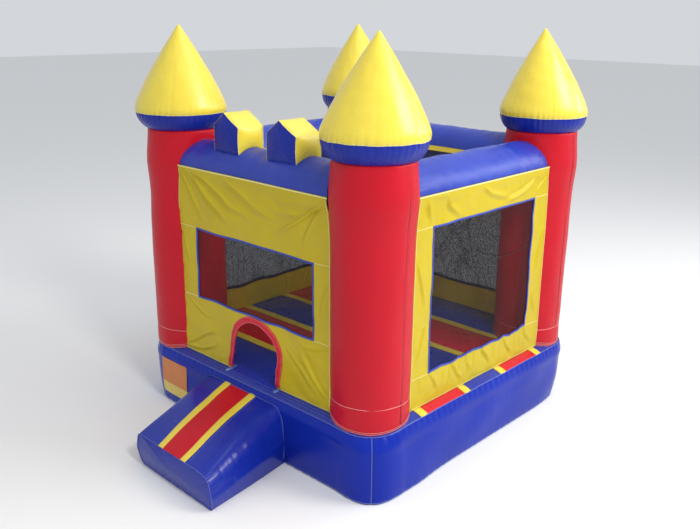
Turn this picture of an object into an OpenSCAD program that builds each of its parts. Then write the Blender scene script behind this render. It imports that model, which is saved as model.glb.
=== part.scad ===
// Castle bounce house: an air-filled base, four corner towers, tie beams,
// curtain walls with netted windows, a netted roof and an entrance step.
// Millimetres. +Z is up, the entrance faces -Y, and the origin is the centre
// of the base's footprint on the ground.

/* [Fabric] */
// Thickness of one sewn layer of coated fabric
skin = 3; // [2:0.5:4]
// Thickness of one layer of netting, binding or patch
trim_t = 2; // [1:0.5:3]

/* [Base] */
// Side length of the square air base
base_w = 3050; // [2950:10:3150]
// Radius of the base's upright corners
base_r = 230; // [200:1:360]
// Height of the floor in the valleys between its tubes
floor_z = 592; // [560:1:620]
// Rise of each floor tube above the valleys
crown = 28; // [10:1:40]
// Distance of the inner valleys from the middle
valley_in = 276; // [230:1:320]
// Distance of the outer valleys from the middle
valley_out = 874; // [830:1:920]
// Width of the yellow strips over the valleys
valley_w = 80; // [50:1:110]

/* [Towers] */
// Distance of each tower's axis from the middle, along X and along Y
tower_at = 1176; // [1170:1:1180]
// Outside radius of a tower
tower_r = 322; // [310:1:330]
// Height at which the tower ends and its collar starts
tower_top = 2652; // [2600:1:2700]
// Height of the seam between the collar and the cap
cap_z = 2797; // [2740:1:2800]
// Radius at that seam
cap_r = 404; // [380:1:420]
// Height of the cap's point
tip_z = 3556; // [3400:1:3700]
// Radius of the air ports between the chambers
port_r = 90; // [60:1:110]

/* [Beams] */
// Outside radius of the tie beams between the towers
beam_r = 241; // [220:1:250]
// Height of the beams' axes
beam_z = 2332; // [2300:1:2380]

/* [Walls] */
// Height at which a curtain wall is sewn to its beam
wall_top = 2361; // [2340:1:2400]
// Half width of the front window
front_win_x = 745; // [600:1:780]
// Bottom of the front window
front_win_lo = 1186; // [1180:1:1250]
// Top of the front window
front_win_hi = 1816; // [1700:1:1850]
// Half width of the side and back windows
side_win_x = 730; // [600:1:780]
// Bottom of the side and back windows
side_win_lo = 880; // [820:1:950]
// Top of the side and back windows
side_win_hi = 2095; // [1900:1:2100]
// Width of the binding round a window
bind_w = 20; // [12:1:30]
// Half width of the entrance opening at its foot
door_x = 290; // [240:1:300]
// Height of the entrance opening's crown above the ground
door_top = 1102; // [1060:1:1115]
// Width of the trim round the entrance
door_trim_w = 60; // [50:1:65]
// Distance of the entrance's middle to the right of the wall's middle
door_at = 40; // [0:1:60]

/* [Step] */
// Reach of the step in front of the base
step_y = 842; // [700:1:900]
// Width of the step
step_w = 1000; // [900:1:1050]
// Height of the step where it meets the base
step_hi = 505; // [460:1:540]
// Height of the step's front edge
step_lo = 282; // [240:1:320]
// Sideways lean of the step's front end
step_skew = 150; // [0:1:170]

/* [Blocks] */
// Width of one battlement block
block_w = 336; // [280:1:360]
// Height of the blocks' eaves
block_eave = 2750; // [2700:1:2780]
// Height of the blocks' ridge
block_ridge = 2862; // [2820:1:2900]

/* [Back] */
// Inside radius of the inflation sleeve
sleeve_r = 140; // [120:1:150]
// Length of the inflation sleeve
sleeve_len = 450; // [350:1:550]
// Wire radius of an anchor ring
ring_wire = 4; // [3:0.5:5]
// Length of the deflation zip
zip_len = 700; // [600:1:760]

/* [Hidden] */
$fn = 96;
hb = base_w / 2;
// inner face of a curtain wall, just outside the beam
wall_in = tower_at + beam_r + 0.5;
wall_out = wall_in + skin;
// floor valleys in order from the front, and the two free edges
edges = [-hb, -valley_out, -valley_in, valley_in, valley_out, hb];
zip_x = -150;      // right-hand end of the zip
zip_z = 330;
sleeve_x = 760;
sleeve_z = 190;
anchor_at = 1020;
anchor_z = 175;

// ---- helpers ----

// the base's plan: a square with round corners, drawn in by d
module plan(d = 0) {
    h = hb - d;
    r = base_r - d;
    square([2 * h, 2 * (h - r)], center = true);
    square([2 * (h - r), 2 * h], center = true);
    for (sx = [-1, 1], sy = [-1, 1]) translate([sx * (h - r), sy * (h - r)]) circle(r);
}

// height of the floor's top face at y
function tube(y) = y < edges[1] ? 0 : y < edges[2] ? 1 : y < edges[3] ? 2 : y < edges[4] ? 3 : 4;
function ztop(y) = let (i = tube(y), a = edges[i], b = edges[i + 1], u = (2 * y - a - b) / (b - a))
    floor_z + crown * (1 - u * u);
function yrow(a, b, n = 8) = [for (i = [0:n]) a + (b - a) * i / n];

// everything under the floor's top face, lowered by d
module under_floor(d = 0) {
    ys = concat([-hb - 5], [for (i = [0:4]) for (y = concat([edges[i]], i > 0 ? [edges[i] + valley_w / 2] : [],
        [for (k = [1:7]) edges[i] + (edges[i + 1] - edges[i]) * k / 8], i < 4 ? [edges[i + 1] - valley_w / 2] : [])) y], [hb, hb + 5]);
    rotate([90, 0, 90]) linear_extrude(2 * hb + 20, center = true)
        polygon(concat([for (y = ys) [y, (abs(y) > hb - 1 ? floor_z : ztop(y)) - d]], [[hb + 5, -10], [-hb - 5, -10]]));
}

// one coloured strip of the floor between y = a and y = b
module strip(a, b) {
    ys = concat([a], [for (i = [0:4]) for (k = [0:7]) let (y = edges[i] + (edges[i + 1] - edges[i]) * k / 8) if (y > a + 1 && y < b - 1) y], [b]);
    z = [for (y = ys) abs(y) > hb - 1 ? floor_z : ztop(y)];
    n = len(ys);
    intersection() {
        rotate([90, 0, 90]) linear_extrude(2 * hb, center = true)
            polygon(concat([for (i = [0:n - 1]) [ys[i], z[i]]], [for (i = [n - 1:-1:0]) [ys[i], z[i] - skin]]));
        translate([0, 0, 100]) linear_extrude(floor_z + crown) plan();
    }
}

module ports() for (sx = [-1, 1], sy = [-1, 1])
    translate([sx * tower_at, sy * tower_at, floor_z - 50]) cylinder(r = port_r, h = 150);

// turns a thing made for the front (facing -Y) to another side
module side(a) rotate([0, 0, a]) children();

// a quarter of the base's upright wall, facing -Y, down to 3 mm above the ground
module base_side(a) intersection() {
    side(a) difference() {
        translate([0, 0, skin]) linear_extrude(floor_z + crown) difference() { plan(); plan(skin); }
        translate([0, 0, -5]) linear_extrude(floor_z + crown + 20)
            polygon([[0, 0], [2 * hb, -2 * hb], [2 * hb, 2 * hb], [-2 * hb, 2 * hb], [-2 * hb, -2 * hb]]);
    }
    under_floor(skin);
}

module towers_solid(d = 0) for (sx = [-1, 1], sy = [-1, 1])
    translate([sx * tower_at, sy * tower_at, 100]) cylinder(r = tower_r + d, h = tower_top - 100);

// one tower tube with its air ports into the two beams
module tower(sx, sy) difference() {
    translate([sx * tower_at, sy * tower_at, floor_z - 20]) difference() {
        cylinder(r = tower_r, h = tower_top - floor_z + 20);
        translate([0, 0, -5]) cylinder(r = tower_r - skin, h = tower_top - floor_z + 40);
        translate([0, 0, beam_z - floor_z + 20]) rotate([0, -sx * 90, 0]) cylinder(r = port_r, h = tower_r + 50);
        translate([0, 0, beam_z - floor_z + 20]) rotate([sy * 90, 0, 0]) cylinder(r = port_r, h = tower_r + 50);
    }
    under_floor();
}

// outline of the collar and cap in section: radius against height
cap_pts = [[cap_r, cap_z], [cap_r + 3, cap_z + 35], [cap_r + 3, cap_z + 62], [cap_r - 6, cap_z + 105], [cap_r - 26, cap_z + 160],
    [cap_r - 60, cap_z + 232], [cap_r - 88, cap_z + 288]];

module collar(sx, sy) translate([sx * tower_at, sy * tower_at, 0]) rotate_extrude()
    polygon([[tower_r, tower_top], [tower_r + 30, tower_top + 24], [tower_r + 60, tower_top + 66], [cap_r, cap_z],
        [cap_r - skin, cap_z], [tower_r + 60 - skin, tower_top + 67], [tower_r + 30 - skin, tower_top + 26],
        [tower_r - skin, tower_top + 2], [tower_r - skin, tower_top]]);

module cap(sx, sy) translate([sx * tower_at, sy * tower_at, 0]) rotate_extrude()
    polygon(concat(cap_pts, [[6, tip_z - 3], [0, tip_z], [0, tip_z - 9]],
        [for (i = [len(cap_pts) - 1:-1:0]) [cap_pts[i][0] - skin, cap_pts[i][1]]]));

// one tie beam, an open-ended tube that meets both towers
module beam() difference() {
    translate([0, -tower_at, beam_z]) rotate([0, 90, 0]) difference() {
        cylinder(r = beam_r, h = 2 * tower_at, center = true);
        cylinder(r = beam_r - skin, h = 2 * tower_at + 10, center = true);
    }
    towers_solid();
}

module beams_solid() for (a = [0, 90, 180, 270]) side(a)
    translate([0, -tower_at, beam_z]) rotate([0, 90, 0]) cylinder(r = beam_r, h = 2 * tower_at, center = true);

module window(hx, lo, hi, d = 0, y0 = -2000, y1 = -1000)
    translate([-hx - d, y0, lo - d]) cube([2 * (hx + d), y1 - y0, hi - lo + 2 * d]);

// entrance outline: upright legs that close in a tall arch, grown by d
module door2d(d = 0) {
    r = door_x * 0.78 + d;
    translate([-door_x - d, 100]) square([2 * (door_x + d), 620]);
    translate([0, door_top - door_x * 0.78]) circle(r);
    polygon([[-door_x - d, 715], [-r, door_top - door_x * 0.78], [r, door_top - door_x * 0.78], [door_x + d, 715]]);
}
module door_cut(d = 0) translate([door_at, -1200, 0]) rotate([90, 0, 0]) linear_extrude(600) door2d(d);

// a curtain wall for the side turned by a, before its openings
module sheet(a) difference() {
    side(a) translate([-tower_at, -wall_out, floor_z - 10]) cube([2 * tower_at, skin, wall_top - floor_z + 10]);
    towers_solid();
    under_floor();
}
module plain_wall(a) difference() {
    sheet(a);
    side(a) window(side_win_x, side_win_lo, side_win_hi);
}
module binding(hx, lo, hi) difference() {
    window(hx, lo, hi, bind_w, -wall_out - trim_t, -wall_out);
    window(hx, lo, hi);
}
module net(hx, lo, hi) window(hx, lo, hi, bind_w, -wall_in, -wall_in + trim_t);

// step outline in plan, drawn in by d, ending at y = back
module step_plan(d, back) {
    y1 = -hb - step_y + d;
    function lean(y) = step_skew * (-hb - y) / step_y;
    polygon([[-step_w / 2 + d + lean(back), back], [step_w / 2 - d + lean(back), back],
        [step_w / 2 - d + lean(y1), y1], [-step_w / 2 + d + lean(y1), y1]]);
}
// everything above the step's sloping top, raised by d
module above_step(d = 0) translate([0, 0, 0]) rotate([90, 0, 90]) linear_extrude(4000, center = true)
    polygon([[-hb + 100, step_hi + d + (step_hi - step_lo) / step_y * 100], [-hb - step_y - 100, step_lo + d - (step_hi - step_lo) / step_y * 100],
        [-hb - step_y - 100, 2000], [-hb + 100, 2000]]);

// a band on the step's top between x = a and x = b at the base end, narrowed a little at the front
module step_band(a, b, a1, b1) difference() {
    linear_extrude(700) polygon([[a, -hb], [b, -hb], [b1, -hb - step_y], [a1, -hb - step_y]]);
    above_step(trim_t);
    difference() { translate([-2000, -4000, -10]) cube([4000, 4000, 900]); above_step(0); }
}

module block_section(d = 0) {
    h = block_w / 2 - d;
    polygon([[-h, 2400], [-h, block_eave - d * 0.5], [0, block_ridge - d * 1.2], [h, block_eave - d * 0.5], [h, 2400]]);
}
module each_block() for (x = [-375, 335]) translate([x, 0, 0]) children();
block_y = [-1325, -1055];

// one anchor: patch, webbing tail and loop, on a wall facing -Y at y = 0
module anchor() {
    translate([-60, -skin, anchor_z - 20]) cube([120, skin, 120]);
    difference() {
        union() {
            translate([-21, -skin - trim_t, anchor_z]) cube([42, trim_t, 90]);
            translate([-21, -skin - ring_wire - 3, anchor_z]) rotate([0, 90, 0]) cylinder(r = ring_wire + 3, h = 42);
        }
        translate([-30, -skin - ring_wire - 3, anchor_z]) rotate([0, 90, 0]) cylinder(r = ring_wire + 0.5, h = 60);
    }
}
module d_ring() translate([0, -skin - ring_wire - 3, anchor_z]) {
    rotate([0, 90, 0]) cylinder(r = ring_wire, h = 58, center = true);
    for (s = [-29, 29]) translate([s, 0, 0]) sphere(r = ring_wire);
    rotate([90, 180, 0]) rotate_extrude(angle = 180) translate([29, 0]) circle(ring_wire);
}
// places for the anchors: on the back wall and on the left wall
module at_back(x) translate([x, hb, 0]) rotate([0, 0, 180]) children();
module at_left(y) translate([-hb, y, 0]) rotate([0, 0, -90]) children();

// ---- base ----
module base_underside() color([0.13, 0.16, 0.5]) linear_extrude(skin) plan();
module base_wall_front() color([0.16, 0.2, 0.62]) difference() { base_side(0); }
module base_wall_right() color([0.18, 0.22, 0.66]) base_side(90);
module base_wall_back() color([0.16, 0.2, 0.62]) difference() {
    base_side(180);
    translate([sleeve_x, hb - 50, sleeve_z]) rotate([-90, 0, 0]) cylinder(r = sleeve_r - 20, h = 100);
}
module base_wall_left() color([0.16, 0.2, 0.62]) base_side(270);

module floor_blue() color([0.2, 0.25, 0.7]) difference() {
    union() {
        strip(-hb, -valley_out - valley_w / 2);
        strip(-valley_in + valley_w / 2, valley_in - valley_w / 2);
        strip(valley_out + valley_w / 2, hb);
    }
    ports();
}
module floor_red() color([0.78, 0.1, 0.18]) {
    strip(-valley_out + valley_w / 2, -valley_in - valley_w / 2);
    strip(valley_in + valley_w / 2, valley_out - valley_w / 2);
}
module floor_yellow() color([0.92, 0.82, 0.2]) for (v = [-valley_out, -valley_in, valley_in, valley_out])
    strip(v - valley_w / 2, v + valley_w / 2);

// upright webs that hold the floor down in its valleys, and one in the step, each with vents
module inner_baffles() color([0.75, 0.75, 0.78]) {
    for (v = [-valley_out, -valley_in, valley_in, valley_out]) difference() {
        translate([-1350, v - skin / 2, skin]) cube([2700, skin, floor_z - 2 * skin - 0.5]);
        for (x = [-900, 0, 900]) translate([x, v - 20, 300]) rotate([-90, 0, 0]) cylinder(r = port_r, h = 40);
    }
    translate([step_skew / 2 - 400, -hb - step_y / 2, skin + 0.5]) difference() {
        cube([800, skin, (step_hi + step_lo) / 2 - 2 * skin - 6]);
        translate([400, -20, 190]) rotate([-90, 0, 0]) cylinder(r = port_r, h = 50);
    }
}

// ---- towers ----
module tower_front_left() color([0.8, 0.1, 0.18]) tower(-1, -1);
module tower_front_right() color([0.8, 0.1, 0.18]) tower(1, -1);
module tower_back_left() color([0.8, 0.1, 0.18]) tower(-1, 1);
module tower_back_right() color([0.8, 0.1, 0.18]) tower(1, 1);
module collar_front_left() color([0.16, 0.2, 0.6]) collar(-1, -1);
module collar_front_right() color([0.16, 0.2, 0.6]) collar(1, -1);
module collar_back_left() color([0.16, 0.2, 0.6]) collar(-1, 1);
module collar_back_right() color([0.16, 0.2, 0.6]) collar(1, 1);
module cap_front_left() color([0.93, 0.85, 0.28]) cap(-1, -1);
module cap_front_right() color([0.93, 0.85, 0.28]) cap(1, -1);
module cap_back_left() color([0.93, 0.85, 0.28]) cap(-1, 1);
module cap_back_right() color([0.93, 0.85, 0.28]) cap(1, 1);

// ---- tie beams ----
module beam_front() color([0.2, 0.26, 0.7]) beam();
module beam_right() color([0.3, 0.4, 0.8]) difference() { side(90) beam(); }
module beam_back() color([0.2, 0.26, 0.7]) side(180) beam();
module beam_left() color([0.2, 0.26, 0.7]) side(270) beam();

// ---- curtain walls, bindings and nets ----
module wall_front() color([0.8, 0.72, 0.2]) difference() {
    sheet(0);
    window(front_win_x, front_win_lo, front_win_hi);
    door_cut();
}
module wall_right() color([0.9, 0.82, 0.22]) plain_wall(90);
module wall_back() color([0.85, 0.77, 0.2]) plain_wall(180);
module wall_left() color([0.85, 0.77, 0.2]) plain_wall(270);

module binding_front() color([0.25, 0.32, 0.8]) binding(front_win_x, front_win_lo, front_win_hi);
module binding_right() color([0.25, 0.32, 0.8]) side(90) binding(side_win_x, side_win_lo, side_win_hi);
module binding_back() color([0.25, 0.32, 0.8]) side(180) binding(side_win_x, side_win_lo, side_win_hi);
module binding_left() color([0.25, 0.32, 0.8]) side(270) binding(side_win_x, side_win_lo, side_win_hi);

module net_front() color([0.15, 0.15, 0.15]) net(front_win_x, front_win_lo, front_win_hi);
module net_right() color([0.15, 0.15, 0.15]) side(90) net(side_win_x, side_win_lo, side_win_hi);
module net_back() color([0.15, 0.15, 0.15]) side(180) net(side_win_x, side_win_lo, side_win_hi);
module net_left() color([0.15, 0.15, 0.15]) side(270) net(side_win_x, side_win_lo, side_win_hi);

// ---- roof ----
module roof_strip() color([0.85, 0.77, 0.2]) difference() {
    translate([-tower_at, -tower_at, 2398]) cube([2 * tower_at, 2 * tower_at, skin]);
    translate([-800, -800, 2300]) cube([1600, 1600, 200]);
    beams_solid();
    towers_solid();
}
module roof_net() color([0.15, 0.15, 0.15]) translate([-820, -820, 2398 - trim_t]) cube([1640, 1640, trim_t]);

// ---- battlement blocks on the front beam ----
module block_covers() color([0.93, 0.85, 0.28]) each_block() difference() {
    translate([0, block_y[1] - skin, 0]) rotate([90, 0, 0]) linear_extrude(block_y[1] - block_y[0] - 2 * skin) difference() { block_section(); block_section(skin); }
    translate([0, -tower_at, beam_z]) rotate([0, 90, 0]) cylinder(r = beam_r, h = 1000, center = true);
}
module block_faces() color([0.16, 0.2, 0.6]) each_block() difference() {
    for (y = [block_y[0] + skin, block_y[1]]) translate([0, y, 0]) rotate([90, 0, 0]) linear_extrude(skin) block_section();
    translate([0, -tower_at, beam_z]) rotate([0, 90, 0]) cylinder(r = beam_r, h = 1000, center = true);
}

// ---- entrance ----
module door_trim() color([0.82, 0.12, 0.2]) difference() {
    intersection() {
        translate([-600, -wall_out - trim_t, 100]) cube([1200, trim_t, 1100]);
        door_cut(door_trim_w);
        translate([-600, -2000, floor_z + crown + 30]) cube([1200, 2000, 1000]);
    }
    door_cut();
}
module door_corner_straps() color([0.4, 0.55, 0.85]) for (x = [door_at - door_x - 30, door_at + door_x + 30])
    difference() {
        translate([x - 24, -wall_out - 75, floor_z]) cube([48, 150, crown + trim_t + 2]);
        translate([x - 30, -wall_out - trim_t, floor_z]) cube([60, skin + 2 * trim_t, 200]);
        under_floor();
    }

// ---- step ----
module step_body() color([0.17, 0.21, 0.64]) difference() {
    linear_extrude(700) step_plan(0, -hb);
    above_step();
    difference() {
        translate([0, 0, skin]) linear_extrude(700) step_plan(skin, -hb - skin);
        above_step(-skin);
    }
}
module step_stripe_red() color([0.8, 0.12, 0.2]) step_band(-156, 118, -6, 246);
module step_stripe_yellow() color([0.92, 0.83, 0.2]) {
    step_band(-217, -156, -64, -6);
    step_band(118, 176, 246, 305);
}

// ---- plain two-colour patch on the front of the base ----
module patch_upper() color([0.88, 0.5, 0.25]) translate([-1165, -hb - trim_t, 212]) cube([355, trim_t, 248]);
module patch_lower() color([0.88, 0.8, 0.35]) translate([-1165, -hb - trim_t, 100]) cube([355, trim_t, 112]);

// ---- inflation sleeve on the back ----
module inflation_sleeve() color([0.16, 0.2, 0.6]) translate([sleeve_x, hb, sleeve_z]) rotate([-90, 0, 0]) difference() {
    cylinder(r = sleeve_r + skin, h = sleeve_len);
    translate([0, 0, -5]) cylinder(r = sleeve_r, h = sleeve_len + 10);
}
module sleeve_strap() color([0.1, 0.1, 0.1]) translate([sleeve_x, hb + sleeve_len - 120, sleeve_z]) rotate([-90, 0, 0]) difference() {
    cylinder(r = sleeve_r + skin + trim_t, h = 40);
    translate([0, 0, -5]) cylinder(r = sleeve_r + skin, h = 50);
}

// ---- deflation zip on the back ----
module zip_tape() color([0.12, 0.12, 0.13]) {
    translate([zip_x - zip_len, hb, zip_z - 25]) cube([zip_len, trim_t, 50]);
    translate([zip_x - zip_len + 10, hb + trim_t, zip_z - 3]) cube([zip_len - 20, 2, 6]);
    // the fold that the flap hangs from
    translate([zip_x - zip_len, hb, zip_z + 45]) cube([zip_len - 90, 21, 14]);
}
module zip_slider() color([0.6, 0.6, 0.62]) translate([zip_x - 45, hb + trim_t, zip_z]) {
    difference() {
        translate([-16, 0.4, -9]) cube([32, 7.6, 18]);
        translate([-20, -1, -3.6]) cube([40, 3.5, 7.2]);
    }
    for (s = [-7, 4]) translate([s, 7.9, -4]) cube([3, 7, 8]);
    translate([-7, 11.6, 0]) rotate([0, 90, 0]) cylinder(r = 1.3, h = 14);
}
module zip_pull() color([0.7, 0.7, 0.72]) translate([zip_x - 45, hb + trim_t + 11.6, zip_z]) difference() {
    union() {
        translate([-3.5, 0, 0]) rotate([0, 90, 0]) cylinder(r = 2.8, h = 7);
        translate([-3.5, -1.2, -34]) cube([7, 2.4, 33]);
    }
    translate([-10, 0, 0]) rotate([0, 90, 0]) cylinder(r = 1.6, h = 20);
}
module zip_flap() color([0.16, 0.2, 0.6]) translate([zip_x - zip_len, hb + 20, zip_z + 42 - 115]) cube([zip_len - 90, skin, 114]);

// ---- anchors ----
module anchor_patches() color([0.2, 0.25, 0.65]) {
    at_back(anchor_at + 80) anchor();
    at_back(-anchor_at) anchor();
    at_left(anchor_at) anchor();
    at_left(-anchor_at) anchor();
}
module ring_back_right() color([0.75, 0.76, 0.78]) at_back(anchor_at + 80) d_ring();
module ring_back_left() color([0.75, 0.76, 0.78]) at_back(-anchor_at) d_ring();
module ring_left_back() color([0.75, 0.76, 0.78]) at_left(anchor_at) d_ring();
module ring_left_front() color([0.75, 0.76, 0.78]) at_left(-anchor_at) d_ring();

base_underside();
base_wall_front();
base_wall_right();
base_wall_back();
base_wall_left();
floor_blue();
floor_red();
floor_yellow();
inner_baffles();
tower_front_left();
tower_front_right();
tower_back_left();
tower_back_right();
collar_front_left();
collar_front_right();
collar_back_left();
collar_back_right();
cap_front_left();
cap_front_right();
cap_back_left();
cap_back_right();
beam_front();
beam_right();
beam_back();
beam_left();
wall_front();
wall_right();
wall_back();
wall_left();
binding_front();
binding_right();
binding_back();
binding_left();
net_front();
net_right();
net_back();
net_left();
roof_strip();
roof_net();
block_covers();
block_faces();
door_trim();
door_corner_straps();
step_body();
step_stripe_red();
step_stripe_yellow();
patch_upper();
patch_lower();
inflation_sleeve();
sleeve_strap();
zip_tape();
zip_slider();
zip_pull();
zip_flap();
anchor_patches();
ring_back_right();
ring_back_left();
ring_left_back();
ring_left_front();
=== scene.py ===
import bpy
import math
import numpy as np
from mathutils import Matrix


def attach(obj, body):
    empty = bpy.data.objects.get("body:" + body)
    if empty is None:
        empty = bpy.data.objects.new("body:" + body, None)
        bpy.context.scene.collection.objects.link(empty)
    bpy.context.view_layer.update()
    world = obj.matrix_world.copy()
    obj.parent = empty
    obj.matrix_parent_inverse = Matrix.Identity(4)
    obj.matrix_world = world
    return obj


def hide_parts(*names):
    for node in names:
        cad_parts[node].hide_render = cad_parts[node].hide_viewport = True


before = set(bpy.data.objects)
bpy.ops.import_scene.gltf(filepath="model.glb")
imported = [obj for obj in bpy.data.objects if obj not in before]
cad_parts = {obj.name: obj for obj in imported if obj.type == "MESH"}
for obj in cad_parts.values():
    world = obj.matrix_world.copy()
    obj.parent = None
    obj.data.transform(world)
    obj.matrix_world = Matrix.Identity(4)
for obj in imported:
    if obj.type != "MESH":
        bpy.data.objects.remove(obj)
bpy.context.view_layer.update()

PI = math.pi

# ---------------------------------------------------------------- numbers
TA = 1.176          # towers' axes
BR, BZ = 0.241, 2.332
WALL = 1.4185       # curtain walls, outer face
SEAM_H, SEAM_R, SEAM_Z = 1.507, 0.331, 0.580   # seam between the floor and the upright sides
EDGES = [-SEAM_H, -0.874, -0.276, 0.276, 0.874, SEAM_H]
TOWER_TOP, CAP_Z = 2.652, 2.797


# ---------------------------------------------------------------- noise in numpy
def band(u, k0, k1, n, seed):
    """A sum of n sines of u (one turn is 1) with whole wave counts from k0 to k1, about -1 to 1."""
    r = np.random.default_rng(seed)
    out = np.zeros_like(np.asarray(u, float))
    for _ in range(n):
        k, ph = r.integers(k0, k1 + 1), r.random() * 2 * PI
        out = out + np.sin(2 * PI * k * u + ph) * (0.6 + 0.4 * r.random())
    return out / math.sqrt(n)


def field(x, y, seed, size, n=14):
    """Smooth noise over x, y in metres with features of about that size."""
    r = np.random.default_rng(seed)
    out = 0.0
    for _ in range(n):
        a, k, ph = r.random() * 2 * PI, (0.6 + 0.8 * r.random()) * 2 * PI / size, r.random() * 2 * PI
        out = out + np.sin((np.cos(a) * x + np.sin(a) * y) * k + ph)
    return out / math.sqrt(n)


def smooth(a, b, x):
    t = np.clip((x - a) / (b - a), 0, 1)
    return t * t * (3 - 2 * t)


def pleat(u, count, seed, wander=0.35):
    """Round bulges between sharp creases, count of them in one turn of u; 0 at a crease, 1 on a bulge."""
    w = u + band(u, 2, 9, 6, seed) * wander / count * 1.6
    return np.abs(np.sin(PI * count * w)) ** 0.65


def cells(a, b, step, marks=()):
    """Grid lines from a to b about step apart, with a line at each mark."""
    stops = [a, *[m for m in sorted(marks) if a + 1e-6 < m < b - 1e-6], b]
    out = [a]
    for p, q in zip(stops[:-1], stops[1:]):
        n = max(1, int(round((q - p) / step)))
        out += list(np.linspace(p, q, n + 1)[1:])
    return np.array(out)


# ---------------------------------------------------------------- mesh building
class Acc:
    """Collects grids of points into one mesh."""

    def __init__(self):
        self.v, self.f, self.uv, self.n = [], [], [], 0

    def grid(self, P, uv=None, wrap_u=False, wrap_v=False, mask=None, out=None):
        P = np.asarray(P, float)
        nu, nv = P.shape[:2]
        mu, mv = nu - 1 if wrap_u else nu, nv - 1 if wrap_v else nv
        if uv is None:
            du = np.linalg.norm(np.diff(P, axis=0), axis=2).mean(1)
            dv = np.linalg.norm(np.diff(P, axis=1), axis=2).mean(0)
            U = np.concatenate([[0], np.cumsum(du)])[:, None] * np.ones((1, nv))
            V = np.concatenate([[0], np.cumsum(dv)])[None, :] * np.ones((nu, 1))
        else:
            U, V = uv
            U, V = U * np.ones((nu, nv)), V * np.ones((nu, nv))
        i, j = np.meshgrid(np.arange(nu - 1), np.arange(nv - 1), indexing="ij")
        i, j = i.ravel(), j.ravel()
        if mask is not None:
            keep = np.asarray(mask, bool).ravel()
            i, j = i[keep], j[keep]
        ci, cj = np.stack([i, i + 1, i + 1, i], 1), np.stack([j, j, j + 1, j + 1], 1)
        if out is not None:
            p = P[ci, cj]
            nrm = np.cross(p[:, 2] - p[:, 0], p[:, 3] - p[:, 1])
            if (nrm * out(p.mean(1))).sum() < 0:
                ci, cj = ci[:, ::-1], cj[:, ::-1]
        F = (ci % mu) * mv + (cj % mv)
        V3 = P[:mu, :mv].reshape(-1, 3)
        used, F = np.unique(F, return_inverse=True)
        F = F.reshape(-1, 4)
        self.v.append(V3[used])
        self.f.append(F + self.n)
        self.uv.append(np.stack([U[ci, cj], V[ci, cj]], 2).reshape(-1, 2))
        self.n += len(used)
        return self

    def build(self, name, mat, body="house", slot=None, thick=0.0, offset=-1.0, replaces=(), shade=True, sub=0):
        v, f, uv = np.concatenate(self.v), np.concatenate(self.f), np.concatenate(self.uv)
        me = bpy.data.meshes.new(name)
        me.vertices.add(len(v))
        me.vertices.foreach_set("co", v.astype(np.float32).ravel())
        me.loops.add(f.size)
        me.loops.foreach_set("vertex_index", f.astype(np.int32).ravel())
        me.polygons.add(len(f))
        me.polygons.foreach_set("loop_start", np.arange(0, f.size, 4, dtype=np.int32))
        me.update(calc_edges=True)
        layer = me.uv_layers.new(name="UVMap")
        layer.data.foreach_set("uv", uv.astype(np.float32).ravel())
        me.validate()
        if shade:
            me.polygons.foreach_set("use_smooth", np.ones(len(me.polygons), bool))
        o = bpy.data.objects.new(name, me)
        bpy.context.scene.collection.objects.link(o)
        me.materials.append(mat)
        if sub:
            m = o.modifiers.new("smooth", "SUBSURF")
            m.levels = m.render_levels = sub
        if thick:
            m = o.modifiers.new("thickness", "SOLIDIFY")
            m.thickness, m.offset, m.use_even_offset = thick, offset, False
        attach(o, body)
        if replaces:
            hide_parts(*replaces)
        return o


def ribbon(acc, pts, nrm, width, rise=0.0015, closed=False, across=3, crown=0.0008, lift=0.0):
    """A narrow strip along pts, lying on the surface whose outward normals are nrm."""
    p, n = np.asarray(pts, float), np.asarray(nrm, float) * np.ones((len(pts), 3))
    n = n / np.linalg.norm(n, axis=1, keepdims=True)
    if closed:
        t = np.roll(p, -1, 0) - np.roll(p, 1, 0)
    else:
        t = np.gradient(p, axis=0)
    t = t / np.maximum(np.linalg.norm(t, axis=1, keepdims=True), 1e-9)
    b = np.cross(n, t)
    b = b / np.maximum(np.linalg.norm(b, axis=1, keepdims=True), 1e-9)
    s = np.linspace(-1, 1, across)
    P = (p[:, None] + b[:, None] * (s * width / 2)[None, :, None] + n[:, None] * (rise + lift + crown * (1 - s * s))[None, :, None])
    L = np.concatenate([[0], np.cumsum(np.linalg.norm(np.diff(p, axis=0), axis=1))])
    if closed:
        P = np.concatenate([P, P[:1]])
        L = np.append(L, L[-1] + np.linalg.norm(p[0] - p[-1]))
    N = n.mean(0)
    acc.grid(P, uv=(L[:, None], (s * width / 2)[None, :]), wrap_u=closed,
             out=(lambda c: N) if np.linalg.norm(N) > 0.3 else (lambda c: c - p.mean(0)))
    return acc


def turn(P, k):
    """Turns points made for the front (facing -Y) by k quarter turns."""
    c, s = [(1, 0), (0, 1), (-1, 0), (0, -1)][k % 4]
    P = np.asarray(P, float)
    return np.stack([P[..., 0] * c - P[..., 1] * s, P[..., 0] * s + P[..., 1] * c, P[..., 2]], -1)


# ---------------------------------------------------------------- materials
def _n(nt, kind, **kw):
    n = nt.nodes.new(kind)
    for k, v in kw.items():
        if k in ("operation", "blend_type", "data_type", "noise_type", "wave_type", "bands_direction", "wave_profile", "feature", "distance"):
            setattr(n, k, v)
        else:
            n.inputs[k].default_value = v
    return n


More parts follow.
